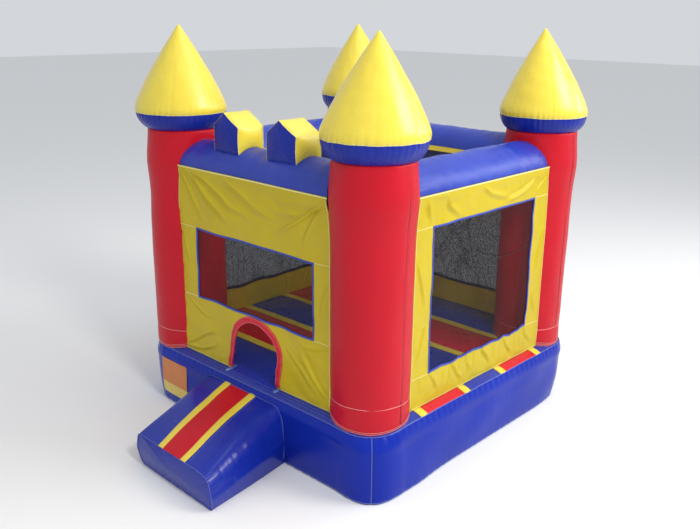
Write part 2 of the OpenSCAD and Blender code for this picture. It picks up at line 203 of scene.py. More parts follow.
def cloth_mat(name, col, light, dark, rough=(0.30, 0.45), spec=0.5, coat=0.0, coat_rough=0.2, weave=0.0030, weave_h=0.00012,
              wrinkle=0.0035, wrinkle_size=0.16, fine=0.0012, fine_size=0.035, dirt=0.10, trans=0.0, mottle=0.25, sheen=0.0, stitch=None, mid_size=0.12, tint=None):
    """Coated fabric: woven scrim under a skin of vinyl, soft creases, worn gloss and a little dust."""
    m = bpy.data.materials.new(name)
    m.use_nodes = True
    nt = m.node_tree
    L = nt.links
    b = nt.nodes["Principled BSDF"]
    b.inputs["Specular IOR Level"].default_value = spec
    b.inputs["Coat Weight"].default_value = coat
    b.inputs["Coat Roughness"].default_value = coat_rough
    if sheen:
        b.inputs["Sheen Weight"].default_value = sheen
    tc = nt.nodes.new("ShaderNodeTexCoord")
    obj, uv = tc.outputs["Object"], tc.outputs["UV"]

    def noise(vec, size, detail=3, rough_=0.55, distort=0.0, kind="FBM"):
        n = _n(nt, "ShaderNodeTexNoise", Scale=1.0 / size, Detail=detail, Roughness=rough_, Distortion=distort)
        n.noise_type = kind
        L.new(vec, n.inputs["Vector"])
        return n.outputs["Fac"]

    def ramp(x, a, b_, lo=0.0, hi=1.0):
        r = _n(nt, "ShaderNodeMapRange", **{"From Min": a, "From Max": b_, "To Min": lo, "To Max": hi})
        L.new(x, r.inputs["Value"])
        return r.outputs["Result"]

    def math_(op, x, y):
        n = _n(nt, "ShaderNodeMath", operation=op)
        for s, val in zip(n.inputs, (x, y)):
            if isinstance(val, (int, float)):
                s.default_value = val
            else:
                L.new(val, s)
        return n.outputs["Value"]

    def mix(f, a, c):
        n = nt.nodes.new("ShaderNodeMix")
        n.data_type = "RGBA"
        for s, val in ((n.inputs[0], f), (n.inputs[6], a), (n.inputs[7], c)):
            if isinstance(val, (int, float)):
                s.default_value = val
            elif isinstance(val, (tuple, list)):
                s.default_value = (*val, 1.0)
            else:
                L.new(val, s)
        return n.outputs[2]

    big, mid = noise(obj, 0.9, 2), noise(obj, mid_size, 4, 0.6, 0.4)
    c = mix(ramp(big, 0.3, 0.7), tuple(dark), tuple(col))
    c = mix(math_("MULTIPLY", ramp(mid, 0.45, 0.8), mottle), c, tuple(light))
    speck = noise(obj, 0.006, 2)
    c = mix(math_("MULTIPLY", ramp(speck, 0.62, 0.8), dirt), c, tuple(np.array(dark) * 0.45))
    if stitch:
        w = nt.nodes.new("ShaderNodeTexWave")
        w.wave_type, w.bands_direction = "BANDS", "X"
        w.inputs["Scale"].default_value = 2 * PI / (20 * stitch[1])
        L.new(uv, w.inputs["Vector"])
        c = mix(ramp(w.outputs["Fac"], 0.35, 0.5), c, tuple(stitch[0]))
    if tint:
        # painted view: the lower half of the sheet is a little cooler, standing in for the cooler view seen through the
        # net below this height
        sep = nt.nodes.new("ShaderNodeSeparateXYZ")
        L.new(obj, sep.inputs[0])
        warm = mix(1.0, c, c)
        mul = nt.nodes.new("ShaderNodeMix")
        mul.data_type, mul.blend_type = "RGBA", "MULTIPLY"
        mul.inputs[0].default_value = 1.0
        L.new(warm, mul.inputs[6])
        mul.inputs[7].default_value = (*tint, 1.0)
        c = mix(ramp(sep.outputs["Z"], 1.50, 1.60), mul.outputs[2], c)
    L.new(c, b.inputs["Base Color"])
    rgh = ramp(math_("ADD", math_("MULTIPLY", mid, 0.6), math_("MULTIPLY", noise(obj, 0.03, 3), 0.4)), 0.35, 0.65, rough[0], rough[1])
    L.new(rgh, b.inputs["Roughness"])
    # heights in metres
    h = math_("MULTIPLY", ramp(noise(obj, wrinkle_size, 4, 0.5, 0.7), 0.2, 0.8), wrinkle)
    h = math_("ADD", h, math_("MULTIPLY", noise(obj, fine_size, 3, 0.55, 1.2, "RIDGED_MULTIFRACTAL"), fine))
    if weave_h:
        for d in ("X", "Y"):
            w = nt.nodes.new("ShaderNodeTexWave")
            w.wave_type, w.bands_direction = "BANDS", d
            w.inputs["Scale"].default_value = 2 * PI / (20 * weave)
            w.inputs["Distortion"].default_value = 0.4
            w.inputs["Detail"].default_value = 1.0
            L.new(uv, w.inputs["Vector"])
            h = math_("ADD", h, math_("MULTIPLY", w.outputs["Fac"], weave_h))
    bump = nt.nodes.new("ShaderNodeBump")
    bump.inputs["Distance"].default_value = 1.0
    bump.inputs["Strength"].default_value = 1.0
    L.new(h, bump.inputs["Height"])
    L.new(bump.outputs["Normal"], b.inputs["Normal"])
    if trans:
        b.inputs["Transmission Weight"].default_value = 0.0
        t = nt.nodes.new("ShaderNodeBsdfTranslucent")
        L.new(c, t.inputs["Color"])
        mx = nt.nodes.new("ShaderNodeMixShader")
        mx.inputs[0].default_value = trans
        L.new(b.outputs[0], mx.inputs[1])
        L.new(t.outputs[0], mx.inputs[2])
        L.new(mx.outputs[0], nt.nodes["Material Output"].inputs["Surface"])
    return m


def metal_mat(name, col, rough):
    m = cloth_mat(name, col, tuple(min(1, x * 1.2) for x in col), tuple(x * 0.6 for x in col), rough=rough, weave_h=0, wrinkle=0.00004,
                  wrinkle_size=0.01, fine=0.00003, fine_size=0.003, dirt=0.3)
    m.node_tree.nodes["Principled BSDF"].inputs["Metallic"].default_value = 1.0
    return m


M = {}
M["blue"] = cloth_mat("vinyl_blue", (0.008, 0.024, 0.31), (0.017, 0.042, 0.39), (0.005, 0.016, 0.24), rough=(0.24, 0.38), spec=0.20, coat=0.08, coat_rough=0.2, fine=0.0005, fine_size=0.05, dirt=0.02)
# beams: a lighter copy of the blue vinyl, with painted sheen of the sky they face
M["blue_beam"] = cloth_mat("vinyl_blue_beam", (0.012, 0.042, 0.40), (0.024, 0.066, 0.48), (0.008, 0.030, 0.33), rough=(0.32, 0.44), spec=0.42, coat=0.18, coat_rough=0.3, wrinkle=0.002, fine=0.0005, fine_size=0.05, dirt=0.02)
M["blue_side"] = cloth_mat("vinyl_blue_side", (0.005, 0.024, 0.36), (0.010, 0.036, 0.42), (0.004, 0.018, 0.30), rough=(0.18, 0.27), spec=0.14, coat=0.06, coat_rough=0.12, wrinkle=0.0022, wrinkle_size=0.36, fine=0.0002, fine_size=0.12, dirt=0.0, mottle=0.1)
M["blue_step"] = cloth_mat("vinyl_blue_step", (0.006, 0.024, 0.34), (0.010, 0.034, 0.40), (0.004, 0.016, 0.28), rough=(0.20, 0.28), spec=0.20, coat=0.36, coat_rough=0.14, wrinkle=0.0024, wrinkle_size=0.30, fine=0.0002, fine_size=0.10, dirt=0.0, mottle=0.1)
M["red"] = cloth_mat("vinyl_red", (0.54, 0.0025, 0.016), (0.59, 0.006, 0.024), (0.48, 0.002, 0.012), rough=(0.36, 0.5), spec=0.24, coat=0.08, coat_rough=0.32, wrinkle=0.0016, fine=0.0005, fine_size=0.05, dirt=0.01)
M["yellow_cap"] = cloth_mat("vinyl_yellow", (0.80, 0.645, 0.060), (0.86, 0.72, 0.10), (0.74, 0.58, 0.045), rough=(0.24, 0.36), coat=0.35, coat_rough=0.22, wrinkle=0.0012, fine=0.0004, fine_size=0.05, dirt=0.01)
M["yellow_wall"] = cloth_mat("curtain_yellow", (0.70, 0.545, 0.008), (0.76, 0.62, 0.018), (0.63, 0.485, 0.006), rough=(0.30, 0.42), spec=0.35, coat=0.2, coat_rough=0.28, wrinkle=0.0030, wrinkle_size=0.13, fine=0.0014, fine_size=0.07, dirt=0.01, trans=0.20)
M["floor_blue"] = cloth_mat("floor_vinyl_blue", (0.012, 0.034, 0.34), (0.028, 0.060, 0.42), (0.008, 0.024, 0.28), rough=(0.24, 0.42), spec=0.4, coat=0.2, coat_rough=0.2, dirt=0.03)
M["floor_red"] = cloth_mat("floor_vinyl_red", (0.62, 0.006, 0.026), (0.70, 0.02, 0.045), (0.52, 0.004, 0.02), rough=(0.24, 0.42), spec=0.4, coat=0.2, coat_rough=0.2, dirt=0.03)
M["floor_yellow"] = cloth_mat("floor_vinyl_yellow", (0.80, 0.62, 0.06), (0.88, 0.74, 0.12), (0.68, 0.52, 0.04), rough=(0.3, 0.5), coat=0.15, coat_rough=0.3)
M["binding"] = cloth_mat("binding_blue", (0.035, 0.070, 0.46), (0.05, 0.095, 0.54), (0.025, 0.05, 0.38), rough=(0.4, 0.6), weave=0.0022, weave_h=0.0003, wrinkle=0.001, wrinkle_size=0.04)
M["binding_dark"] = cloth_mat("binding_dark", (0.012, 0.009, 0.035), (0.02, 0.016, 0.05), (0.008, 0.006, 0.02), rough=(0.5, 0.7), weave=0.0022, weave_h=0.0003, wrinkle=0.001, wrinkle_size=0.04)
M["net"] = cloth_mat("black_netting", (0.012, 0.012, 0.013), (0.03, 0.03, 0.03), (0.006, 0.006, 0.006), rough=(0.45, 0.7), weave=0.0012, weave_h=0.0002, wrinkle=0.0005, wrinkle_size=0.02, fine=0.0002, fine_size=0.006, dirt=0.0)
# far nets: the grey-brown speckle and the cooler lower half are painted view of what lies beyond the black net, not the
# thread's own colour
M["net_dense"] = cloth_mat("dense_netting", (0.115, 0.098, 0.084), (0.46, 0.41, 0.36), (0.030, 0.027, 0.025), rough=(0.6, 0.85), spec=0.2, weave=0.0012, weave_h=0.0, wrinkle=0.0003, wrinkle_size=0.02, fine=0.0001, fine_size=0.006, dirt=0.0, mottle=1.0, mid_size=0.017, tint=(0.62, 0.86, 1.25))
M["trim"] = cloth_mat("trim_red", (0.68, 0.006, 0.026), (0.74, 0.02, 0.05), (0.56, 0.004, 0.018), rough=(0.3, 0.46), spec=0.3, coat=0.12, wrinkle=0.0025, wrinkle_size=0.05, fine=0.001, fine_size=0.02, dirt=0.02)
# reinforcing vinyl: blue, with pale blotches mixed in as painted glints
M["reinf"] = cloth_mat("reinforcing_vinyl", (0.070, 0.150, 0.52), (0.42, 0.55, 0.86), (0.030, 0.070, 0.36), rough=(0.12, 0.30), coat=0.7, coat_rough=0.08, wrinkle=0.004, wrinkle_size=0.05, mottle=0.85, dirt=0.02)
M["seam_blue"] = cloth_mat("seam_blue", (0.045, 0.080, 0.40), (0.10, 0.15, 0.50), (0.03, 0.055, 0.33), rough=(0.35, 0.55), wrinkle=0.0006, wrinkle_size=0.03, stitch=((0.13, 0.18, 0.56), 0.009))
M["seam_red"] = cloth_mat("seam_red", (0.68, 0.06, 0.085), (0.76, 0.16, 0.18), (0.58, 0.03, 0.05), rough=(0.35, 0.55), wrinkle=0.0006, wrinkle_size=0.03, stitch=((0.82, 0.34, 0.34), 0.009))
M["seam_yellow"] = cloth_mat("seam_yellow", (0.78, 0.68, 0.14), (0.86, 0.80, 0.30), (0.70, 0.60, 0.08), rough=(0.4, 0.6), wrinkle=0.0006, wrinkle_size=0.03, stitch=((0.88, 0.83, 0.42), 0.009))
# dark red for the upright tower seams: painted shade in the seam's groove
M["seam_dark"] = cloth_mat("seam_dark_red", (0.30, 0.006, 0.016), (0.36, 0.012, 0.02), (0.24, 0.004, 0.01), rough=(0.5, 0.7), wrinkle=0.0006, wrinkle_size=0.03)
M["patch_o"] = cloth_mat("patch_orange", (0.68, 0.24, 0.075), (0.74, 0.31, 0.12), (0.60, 0.19, 0.05), rough=(0.35, 0.55), spec=0.3, wrinkle=0.0015, dirt=0.3)
M["patch_y"] = cloth_mat("patch_yellow", (0.78, 0.60, 0.14), (0.84, 0.68, 0.22), (0.68, 0.5, 0.1), rough=(0.35, 0.55), wrinkle=0.0015, dirt=0.3)
M["web"] = cloth_mat("black_webbing", (0.014, 0.014, 0.016), (0.03, 0.03, 0.034), (0.008, 0.008, 0.009), rough=(0.6, 0.85), weave=0.0018, weave_h=0.0005, wrinkle=0.0008, wrinkle_size=0.03, sheen=0.2)
M["baffle"] = cloth_mat("baffle_fabric", (0.55, 0.55, 0.57), (0.62, 0.62, 0.64), (0.46, 0.46, 0.48), rough=(0.6, 0.8))
M["steel"] = metal_mat("ring_steel", (0.62, 0.63, 0.65), (0.16, 0.34))
M["zip"] = metal_mat("zip_metal", (0.42, 0.42, 0.44), (0.25, 0.45))

# every CAD node that stays gets its own material
CAD_MAT = {"inner_baffles": "baffle", "zip_slider": "zip", "zip_pull": "zip", "ring_": "steel"}
for node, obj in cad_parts.items():
    for key, mm in CAD_MAT.items():
        if node.startswith(key):
            obj.data.materials.clear()
            obj.data.materials.append(M[mm])


# ---------------------------------------------------------------- base
def seam_dist(x, y):
    """Distance inside the floor's outline."""
    ax, ay = np.abs(x), np.abs(y)
    c = SEAM_H - SEAM_R
    d = np.minimum(SEAM_H - ax, SEAM_H - ay)
    both = (ax > c) & (ay > c)
    return np.where(both, SEAM_R - np.hypot(ax - c, ay - c), d)


def floor_h(x, y):
    """Height of the floor's top face."""
    y = np.clip(y, -SEAM_H, SEAM_H)
    z = np.zeros_like(y * x)
    for a, b in zip(EDGES[:-1], EDGES[1:]):
        u = (2 * y - a - b) / (b - a)
        z = np.where((y >= a) & (y <= b), 1 - np.abs(u) ** 2.2, z)
    d = np.maximum(seam_dist(x, y), 0)
    fade = smooth(0.0, 0.16, d)
    zf = 0.594 + 0.028 * z * (0.14 + 0.86 * smooth(0.04, 0.42, d))
    zf = zf - 0.030 * (1 - np.clip(d / 0.11, 0, 1)) ** 1.8 * np.where(z > -1, 1, 1)
    zf = zf - 0.027 * np.exp(-((x - 1.45) ** 2 + (y + 1.45) ** 2) / 0.27 ** 2)
    return zf + 0.0018 * field(x, y, 5, 0.35) * fade


def xmax(y):
    c = SEAM_H - SEAM_R
    ay = np.abs(y)
    return np.where(ay > c, c + np.sqrt(np.maximum(SEAM_R ** 2 - (ay - c) ** 2, 0)), SEAM_H)


def strip(acc, y0, y1, lift=0.0):
    ys = cells(y0, y1, 0.022)
    s = np.linspace(-1, 1, 150)
    s = np.sign(s) * (1 - (1 - np.abs(s)) ** 1.25)
    X = s[:, None] * xmax(ys)[None, :]
    Y = np.ones_like(X) * ys[None, :]
    Z = floor_h(X, Y) + lift
    acc.grid(np.stack([X, Y, Z], -1), uv=(X, Y), out=lambda c: np.array([0, 0, 1.0]))
    return acc


a = Acc()
strip(a, -SEAM_H, -0.914); strip(a, -0.236, 0.236); strip(a, 0.914, SEAM_H)
floor_blue = a.build("floor_strips_blue", M["floor_blue"], slot="floor_vinyl_blue", thick=0.002, replaces=("floor_blue",))
a = Acc()
strip(a, -0.834, -0.316); strip(a, 0.316, 0.834)
floor_red = a.build("floor_strips_red", M["floor_red"], slot="floor_vinyl_red", thick=0.002, replaces=("floor_red",))
a = Acc()
for v in (-0.874, -0.276, 0.276, 0.874):
    strip(a, v - 0.043, v + 0.043, 0.0022)
floor_yellow = a.build("floor_strips_yellow", M["floor_yellow"], slot="floor_vinyl_yellow", thick=0.0018, replaces=("floor_yellow",))


def outline(u, grow=0.0):
    """Point and outward normal on the base's plan; u from 0 to 4 starts in the middle of the front-left corner and runs to the right."""
    u = np.asarray(u, float)
    h, r = SEAM_H, SEAM_R
    k, t = np.floor(u).astype(int), u - np.floor(u)
    straight, arc = 2 * (h - r), r * PI / 4
    s = t * (straight + 2 * arc)
    # first half corner, straight, second half corner, for the front side
    a1 = (s / r) - PI / 4
    a2 = (s - arc - straight) / r
    x = np.where(s < arc, -(h - r) + r * np.sin(a1), np.where(s < arc + straight, -(h - r) + (s - arc), (h - r) + r * np.sin(a2)))
    y = np.where(s < arc, -(h - r) - r * np.cos(a1), np.where(s < arc + straight, -h, -(h - r) - r * np.cos(a2)))
    nx = np.where(s < arc, np.sin(a1), np.where(s < arc + straight, 0, np.sin(a2)))
    ny = -np.sqrt(np.maximum(1 - nx * nx, 0))
    P, N = np.stack([x, y], -1), np.stack([nx, ny], -1)
    out, nn = np.zeros_like(P), np.zeros_like(N)
    for q in range(4):
        c, sn = [(1, 0), (0, 1), (-1, 0), (0, -1)][q]
        m = (k % 4) == q
        for src, dst in ((P, out), (N, nn)):
            dst[..., 0] = np.where(m, src[..., 0] * c - src[..., 1] * sn, dst[..., 0])
            dst[..., 1] = np.where(m, src[..., 0] * sn + src[..., 1] * c, dst[..., 1])
    return out + nn * grow, nn


PER = 4 * (2 * (SEAM_H - SEAM_R) + SEAM_R * PI / 2)


def held_flat(x, y, z):
    """1 under the pieces sewn to the back and left sides, which hold the fabric flat, and 0 away from them."""
    w = np.zeros_like(x)
    for c, h, z0, z1, back in ((1.100, 0.062, 0.140, 0.278, True), (-1.020, 0.062, 0.140, 0.278, True), (-0.500, 0.365, 0.250, 0.395, True),
                               (1.020, 0.062, 0.140, 0.278, False), (-1.020, 0.062, 0.140, 0.278, False)):
        a, on = (x, y > 1.3) if back else (y, x < -1.3)
        d = np.hypot(np.maximum(np.abs(a - c) - h, 0), np.maximum(np.maximum(z0 - z, z - z1), 0))
        w = np.maximum(w, np.where(on, 1 - smooth(0.012, 0.085, d), 0))
    return w


def side_point(u, v):
    """A point on the upright sides: v is 0 at the ground and 1 at the seam."""
    P, N = outline(u)
    zs = floor_h(P[..., 0], P[..., 1])
    # section: from the ground seam out to the belly and back in to the floor seam
    bul = 0.026 * np.sin(PI * np.clip(v, 0, 1)) ** 0.55 + 0.006 * (1 - v) + 0.011 * np.exp(-((v - 0.84) / 0.085) ** 2) * np.clip((1 - v) / 0.06, 0, 1)
    prox_top, prox_bot = np.exp(-(1 - v) * 0.58 / 0.05), np.exp(-v * 0.58 / 0.045)
    puck = (pleat(u / 4, 150, 3) - 0.6) * 0.0055 * prox_top + (pleat(u / 4, 130, 4) - 0.6) * 0.005 * prox_bot
    S = u / 4 * PER
    wav = 0.0035 * field(S, v * 0.58, 11, 0.5) * np.sin(PI * np.clip(v, 0, 1)) + 0.0004 * field(S * 1.0, v * 0.25, 12, 0.16) * np.sin(PI * np.clip(v, 0, 1)) ** 0.5
    # corners pull in at their seam
    cor = np.abs(u - np.round(u)) / 4 * PER
    wav = wav - 0.006 * np.exp(-cor / 0.018)
    # the front right corner stands out, the two far ones are tucked under
    low = np.clip(1 - v, 0, 1)
    d0, d1, d2 = [((u - c_ + 2) % 4 - 2) / 4 * PER for c_ in (0, 1, 2)]
    wav = wav + np.exp(-(d1 / 0.17) ** 2) * (0.056 * (1 - np.clip(v, 0, 1) ** 9) + 0.020 * low ** 2)
    wav = wav + 0.030 * np.exp(-((d1 - 0.42) / 0.28) ** 2) * low ** 1.5
    wav = wav - 0.055 * np.exp(-(d2 / 0.30) ** 2) * low ** 1.2 - 0.030 * np.exp(-(d0 / 0.30) ** 2) * low ** 0.8
    off = bul + puck + wav
    z = 0.004 + (zs - 0.004) * v + 0.004 * prox_top * (pleat(u / 4, 150, 3) - 0.6)
    hw = held_flat(P[..., 0], P[..., 1], z)
    off = off * (1 - hw) + np.minimum(off, 0.0168) * hw
    xy = P + N * off[..., None]
    return np.concatenate([xy, z[..., None]], -1), np.concatenate([N, np.zeros_like(z)[..., None]], -1)


side_names = ["front", "right", "back", "left"]
for k, nm in enumerate(side_names):
    u = np.linspace(k, k + 1, 300)
    v = np.concatenate([np.linspace(0, 0.12, 8)[:-1], np.linspace(0.12, 0.86, 22)[:-1], np.linspace(0.86, 1, 10)])
    U, V = np.meshgrid(u, v, indexing="ij")
    P, _ = side_point(U, V)
    Acc().grid(P, uv=(U / 4 * PER, V * 0.58), out=lambda c: c * np.array([1, 1, 0.0])).build(
        f"base_side_{nm}", M["blue_side"], slot="vinyl_blue", thick=0.002, replaces=(f"base_wall_{nm}",))

# underside, out to the foot of the sides
u = np.linspace(0, 4, 481)
R0, _ = side_point(u, np.zeros_like(u))
rr = np.linspace(0.0, 1, 40)
rr[0] = 0.004
X = R0[:, 0][:, None] * rr[None, :]
Y = R0[:, 1][:, None] * rr[None, :]
Z = 0.0035 + 0.0014 * field(X, Y, 21, 0.4)
o = Acc().grid(np.stack([X, Y, Z], -1), uv=(X, Y), wrap_u=True, out=lambda c: np.array([0, 0, -1.0])).build(
    "ground_sheet", M["blue"], slot="vinyl_blue", thick=0.002, replaces=("base_underside",))

# seams of the base: floor seam, ground seam, corner seams, and two rows of stitching on the margin
sb = Acc()
u = np.linspace(0, 4, 1201)[:-1]
P1, N1 = side_point(u, np.ones_like(u))
nn = N1 + np.array([0, 0, 1.0])
ribbon(sb, P1, nn, 0.007, rise=0.0008, closed=True)
P0, N0 = side_point(u, np.full_like(u, 0.02))
ribbon(sb, P0, N0, 0.009, rise=0.001, closed=True)
for inset in (0.034, 0.060):
    Q, _ = outline(u, -inset)
    zq = floor_h(Q[:, 0], Q[:, 1])
    keep = np.concatenate([Q, zq[:, None]], 1)
    # the rows stop under the towers
    for k in (0, 2):
        m = (u > k + 0.12) & (u < k + 0.88)
        ribbon(sb, keep[m], np.array([0, 0, 1.0]), 0.005, rise=0.0010, crown=0.0006)
for k in range(4):
    v = np.linspace(0.01, 1, 60)
    P, N = side_point(np.full_like(v, float(k)), v)
    ribbon(sb, P, N, 0.007, rise=0.0030)
sb.build("base_seams", M["seam_blue"], slot="vinyl_blue", thick=0.0008, offset=1.0)


# ---------------------------------------------------------------- towers
def tower_r(z):
    return np.interp(z, [0.50, 0.58, 0.66, 0.755, 0.765, 0.90, 1.4, 1.85, 2.05, 2.16, 2.26, 2.34, 2.42, 2.50, 2.57, 2.62, TOWER_TOP, 2.7],
                     [0.314, 0.319, 0.3205, 0.3175, 0.3175, 0.3195, 0.321, 0.3225, 0.3255, 0.331, 0.340, 0.346, 0.344, 0.336, 0.3295, 0.3265, 0.3215, 0.3215])


CAP_PROF = [(2.797, 0.4040), (2.804, 0.4080), (2.816, 0.4108), (2.832, 0.4112), (2.852, 0.4075), (2.880, 0.3985), (2.93, 0.3775), (3.00, 0.344), (3.10, 0.292),
            (3.20, 0.234), (3.30, 0.173), (3.40, 0.110), (3.48, 0.056), (3.53, 0.023), (3.550, 0.009), (3.556, 0.0005)]
COLLAR_PROF = [(2.652, 0.3225), (2.659, 0.334), (2.672, 0.350), (2.695, 0.370), (2.728, 0.390), (2.762, 0.4010), (2.786, 0.4045), (2.797, 0.4040)]


def smooth_profile(prof, n):
    p = np.array(prof)
    d = np.concatenate([[0], np.cumsum(np.hypot(*np.diff(p, axis=0).T))])
    t = np.linspace(0, d[-1], n)
    q = np.stack([np.interp(t, d, p[:, k]) for k in (0, 1)], 1)
    for _ in range(3):
        q[1:-1] = (q[:-2] + 2 * q[1:-1] + q[2:]) / 4
    return q


corners = {"front_left": (-1, -1), "front_right": (1, -1), "back_left": (-1, 1), "back_right": (1, 1)}
seam_r, seam_y, seam_d, seam_c = Acc(), Acc(), Acc(), Acc()
for ci, (nm, (sx, sy)) in enumerate(corners.items()):
    C = np.array([sx * TA, sy * TA])
    th = np.linspace(0, 2 * PI, 161)
    tt = th / (2 * PI)
    # lower edge lies on the floor's surface
    bx, by = C[0] + 0.320 * np.cos(th), C[1] + 0.320 * np.sin(th)
    zb = floor_h(bx, by) - 0.006
    dd = seam_dist(bx, by)
    zb = zb - 0.012 * np.clip(1 - dd / 0.04, 0, 1)
    t = np.concatenate([np.linspace(0, 0.10, 14)[:-1], np.linspace(0.10, 0.84, 46)[:-1], np.linspace(0.84, 1, 20)])
    Z = zb[:, None] + (TOWER_TOP - zb[:, None]) * t[None, :]
    TH = th[:, None] * np.ones_like(Z)
    R = tower_r(Z)
    if nm == "front_left":
        R = R + 0.021 * (1 - smooth(1.55, 2.28, Z)) * smooth(0.50, 0.62, Z)
    near_b, near_t = np.exp(-(Z - zb[:, None]) / 0.035), np.exp(-(TOWER_TOP - Z) / 0.03)
    R = R + (pleat(tt, 46, 30 + ci)[:, None] - 0.6) * 0.006 * near_b + (pleat(tt, 40, 40 + ci)[:, None] - 0.6) * 0.0035 * near_t
    R = R - 0.005 * near_b * np.exp(-(Z - zb[:, None]) / 0.02)
    R = R + 0.0012 * field(TH * 0.33, Z * 0.5, 50 + ci, 0.22) + 0.0018 * field(TH * 0.33, Z * 0.35, 60 + ci, 0.5)
    # the beams pull the fabric into small folds beside their seams
    for ang in ((PI if sx > 0 else 0), (-PI / 2 if sy > 0 else PI / 2)):
        da = np.abs((TH - ang + PI) % (2 * PI) - PI) * 0.33
        rad = np.hypot(da, Z - BZ)
        R = R - 0.006 * np.exp(-((rad - BR) / 0.03) ** 2)
    # a ring of stitching pinches the tube, and an upright seam joins its edges
    R = R - 0.0035 * np.exp(-((Z - 0.76) / 0.010) ** 2)
    a_seam = 0.03 if sx > 0 else PI - 0.03
    ds = np.abs((TH - a_seam + PI) % (2 * PI) - PI) * 0.33
    R = R - 0.004 * np.exp(-(ds / 0.010) ** 2)
    P = np.stack([C[0] + R * np.cos(TH), C[1] + R * np.sin(TH), Z], -1)
    P[-1] = P[0]
    o = Acc().grid(P, uv=(TH * 0.33, Z), wrap_u=True, out=lambda c, C=C: c * [1, 1, 0] - [C[0], C[1], 0]).build(
        f"tower_tube_{nm}", M["red"], slot="vinyl_red", thick=0.002, replaces=(f"tower_{nm}",))

    def on_tower(ang, z, grow=0.0, C=C, nm=nm):
        r = tower_r(z) + grow
        if nm == "front_left":
            r = r + 0.021 * (1 - smooth(1.55, 2.28, z)) * smooth(0.50, 0.62, z)
        return np.stack([C[0] + r * np.cos(ang), C[1] + r * np.sin(ang), z * np.ones_like(ang)], -1)
    ring = np.linspace(0, 2 * PI, 181)[:-1]
    rn = np.stack([np.cos(ring), np.sin(ring), 0 * ring], -1)
    wob = 0.003 * band(ring / (2 * PI), 2, 7, 5, 70 + ci)
    ribbon(seam_r, on_tower(ring, 0.760 + wob, -0.003), rn, 0.007, closed=True)
    # hem with two rows near the foot
    zf = np.interp(ring, th, zb)
    for up, wdt, out_ in ((0.010, 0.007, 0.0005), (0.026, 0.006, 0.001), (0.040, 0.005, 0.0005)):
        ribbon(seam_r, on_tower(ring, zf + up, out_), rn, wdt, closed=True)
    # the upright seam is a dark red ribbon: painted shade in its groove
    zs = np.linspace(0.60, 2.63, 120)
    aa = np.full_like(zs, a_seam)
    ribbon(seam_d, on_tower(aa, zs, -0.0035), np.stack([np.cos(aa), np.sin(aa), 0 * aa], -1), 0.009)

    # collar and cap
    th = np.linspace(0, 2 * PI, 289)
    tt = th / (2 * PI)
    count = 46 + 2 * (ci % 3)
    pl = pleat(tt, count, 80 + ci)
    amp = 0.6 + 0.4 * band(tt, 3, 12, 5, 90 + ci)
    side_ = np.array([0.731, 0.683])
    lean = side_ * [0.012, 0.016, -0.004, -0.034][ci]
    shift = side_ * [-0.012, 0.0, 0.008, 0.0][ci]
    size = [1.0, 1.0, 0.976, 0.974][ci]
    dz = [0.000, 0.008, 0.006, -0.008][ci]

    def revolve(prof, n, zseam, ci=ci, C=C, th=th, tt=tt, pl=pl, amp=amp, lean=lean, low=None):
        q = smooth_profile(prof, n)
        Zq, Rq = q[:, 0][None, :] * np.ones((len(th), 1)), q[:, 1][None, :]
        dist = np.abs(Zq - zseam)
        above = Zq > zseam
        Rq = Rq * (1 + (size - 1) * np.clip((Zq - TOWER_TOP) / 0.10, 0, 1))
        deep = (pl - 0.62)[:, None] * amp[:, None] * np.clip(Rq / 0.3, 0, 1)
        R = Rq + deep * np.where(above, 0.0105 * np.exp(-dist / 0.042), 0.0105 * np.exp(-dist / 0.10))
        if low is not None:
            R = R + (pleat(tt, count, 180 + ci) - 0.6)[:, None] * 0.004 * np.exp(-np.abs(Zq - low) / 0.02)
        R = R * (1 + 0.006 * band(tt, 2, 5, 5, 100 + ci)[:, None] * np.exp(-((Rq - 0.3) / 0.15) ** 2))
        R = R + 0.0012 * field(th[:, None] * 0.35, Zq, 110 + ci, 0.18) * np.clip(Rq / 0.2, 0, 1)
        # gores meet in slightly flattened lines
        R = R * (1 - 0.006 * np.exp(-((np.abs(((tt * 6 + 0.3) % 1) - 0.5)[:, None] * 2 * PI * Rq / 6) / 0.02) ** 2) * np.clip(Rq / 0.1, 0, 1))
        up = np.clip((Zq - 2.8) / 0.75, 0, 1) ** 1.3
        on = np.clip((Zq - TOWER_TOP) / 0.13, 0, 1)
        P = np.stack([C[0] + R * np.cos(th)[:, None] + lean[0] * up + shift[0] * on, C[1] + R * np.sin(th)[:, None] + lean[1] * up + shift[1] * on,
                      Zq + dz * on * (1 - up) + 0.002 * band(tt, 4, 14, 6, 120 + ci)[:, None] * np.exp(-dist / 0.03)], -1)
        P[-1] = P[0]
        arc = np.concatenate([[0], np.cumsum(np.hypot(np.diff(q[:, 0]), np.diff(q[:, 1])))])
        return P, (th[:, None] * 0.3, arc[None, :])
    P, uv = revolve(COLLAR_PROF, 26, CAP_Z, low=TOWER_TOP)
    o = Acc().grid(P, uv=uv, wrap_u=True, out=lambda c, C=C: c * [1, 1, 0] - [C[0], C[1], 0]).build(
        f"collar_skin_{nm}", M["blue"], slot="vinyl_blue", thick=0.002, replaces=(f"collar_{nm}",))
    P, uv = revolve(CAP_PROF, 90, CAP_Z)
    o = Acc().grid(P, uv=uv, wrap_u=True, out=lambda c, C=C: c * [1, 1, 0] - [C[0], C[1], 0]).build(
        f"cap_skin_{nm}", M["yellow_cap"], slot="vinyl_yellow", thick=0.002, replaces=(f"cap_{nm}",))
    rim = P[:-1, 0]
    rr = rim - np.array([C[0] + shift[0], C[1] + shift[1], CAP_Z])
    rr[:, 2] = 0
    ribbon(seam_y, rim, rr, 0.005, rise=0.0006, closed=True)


# ---------------------------------------------------------------- tie beams
def beam_end(off, z):
    """Where a beam's skin at sideways distance off from its axis line meets the tower."""
    return TA - np.sqrt(np.maximum(tower_r(z) ** 2 - off ** 2, 0.0004))


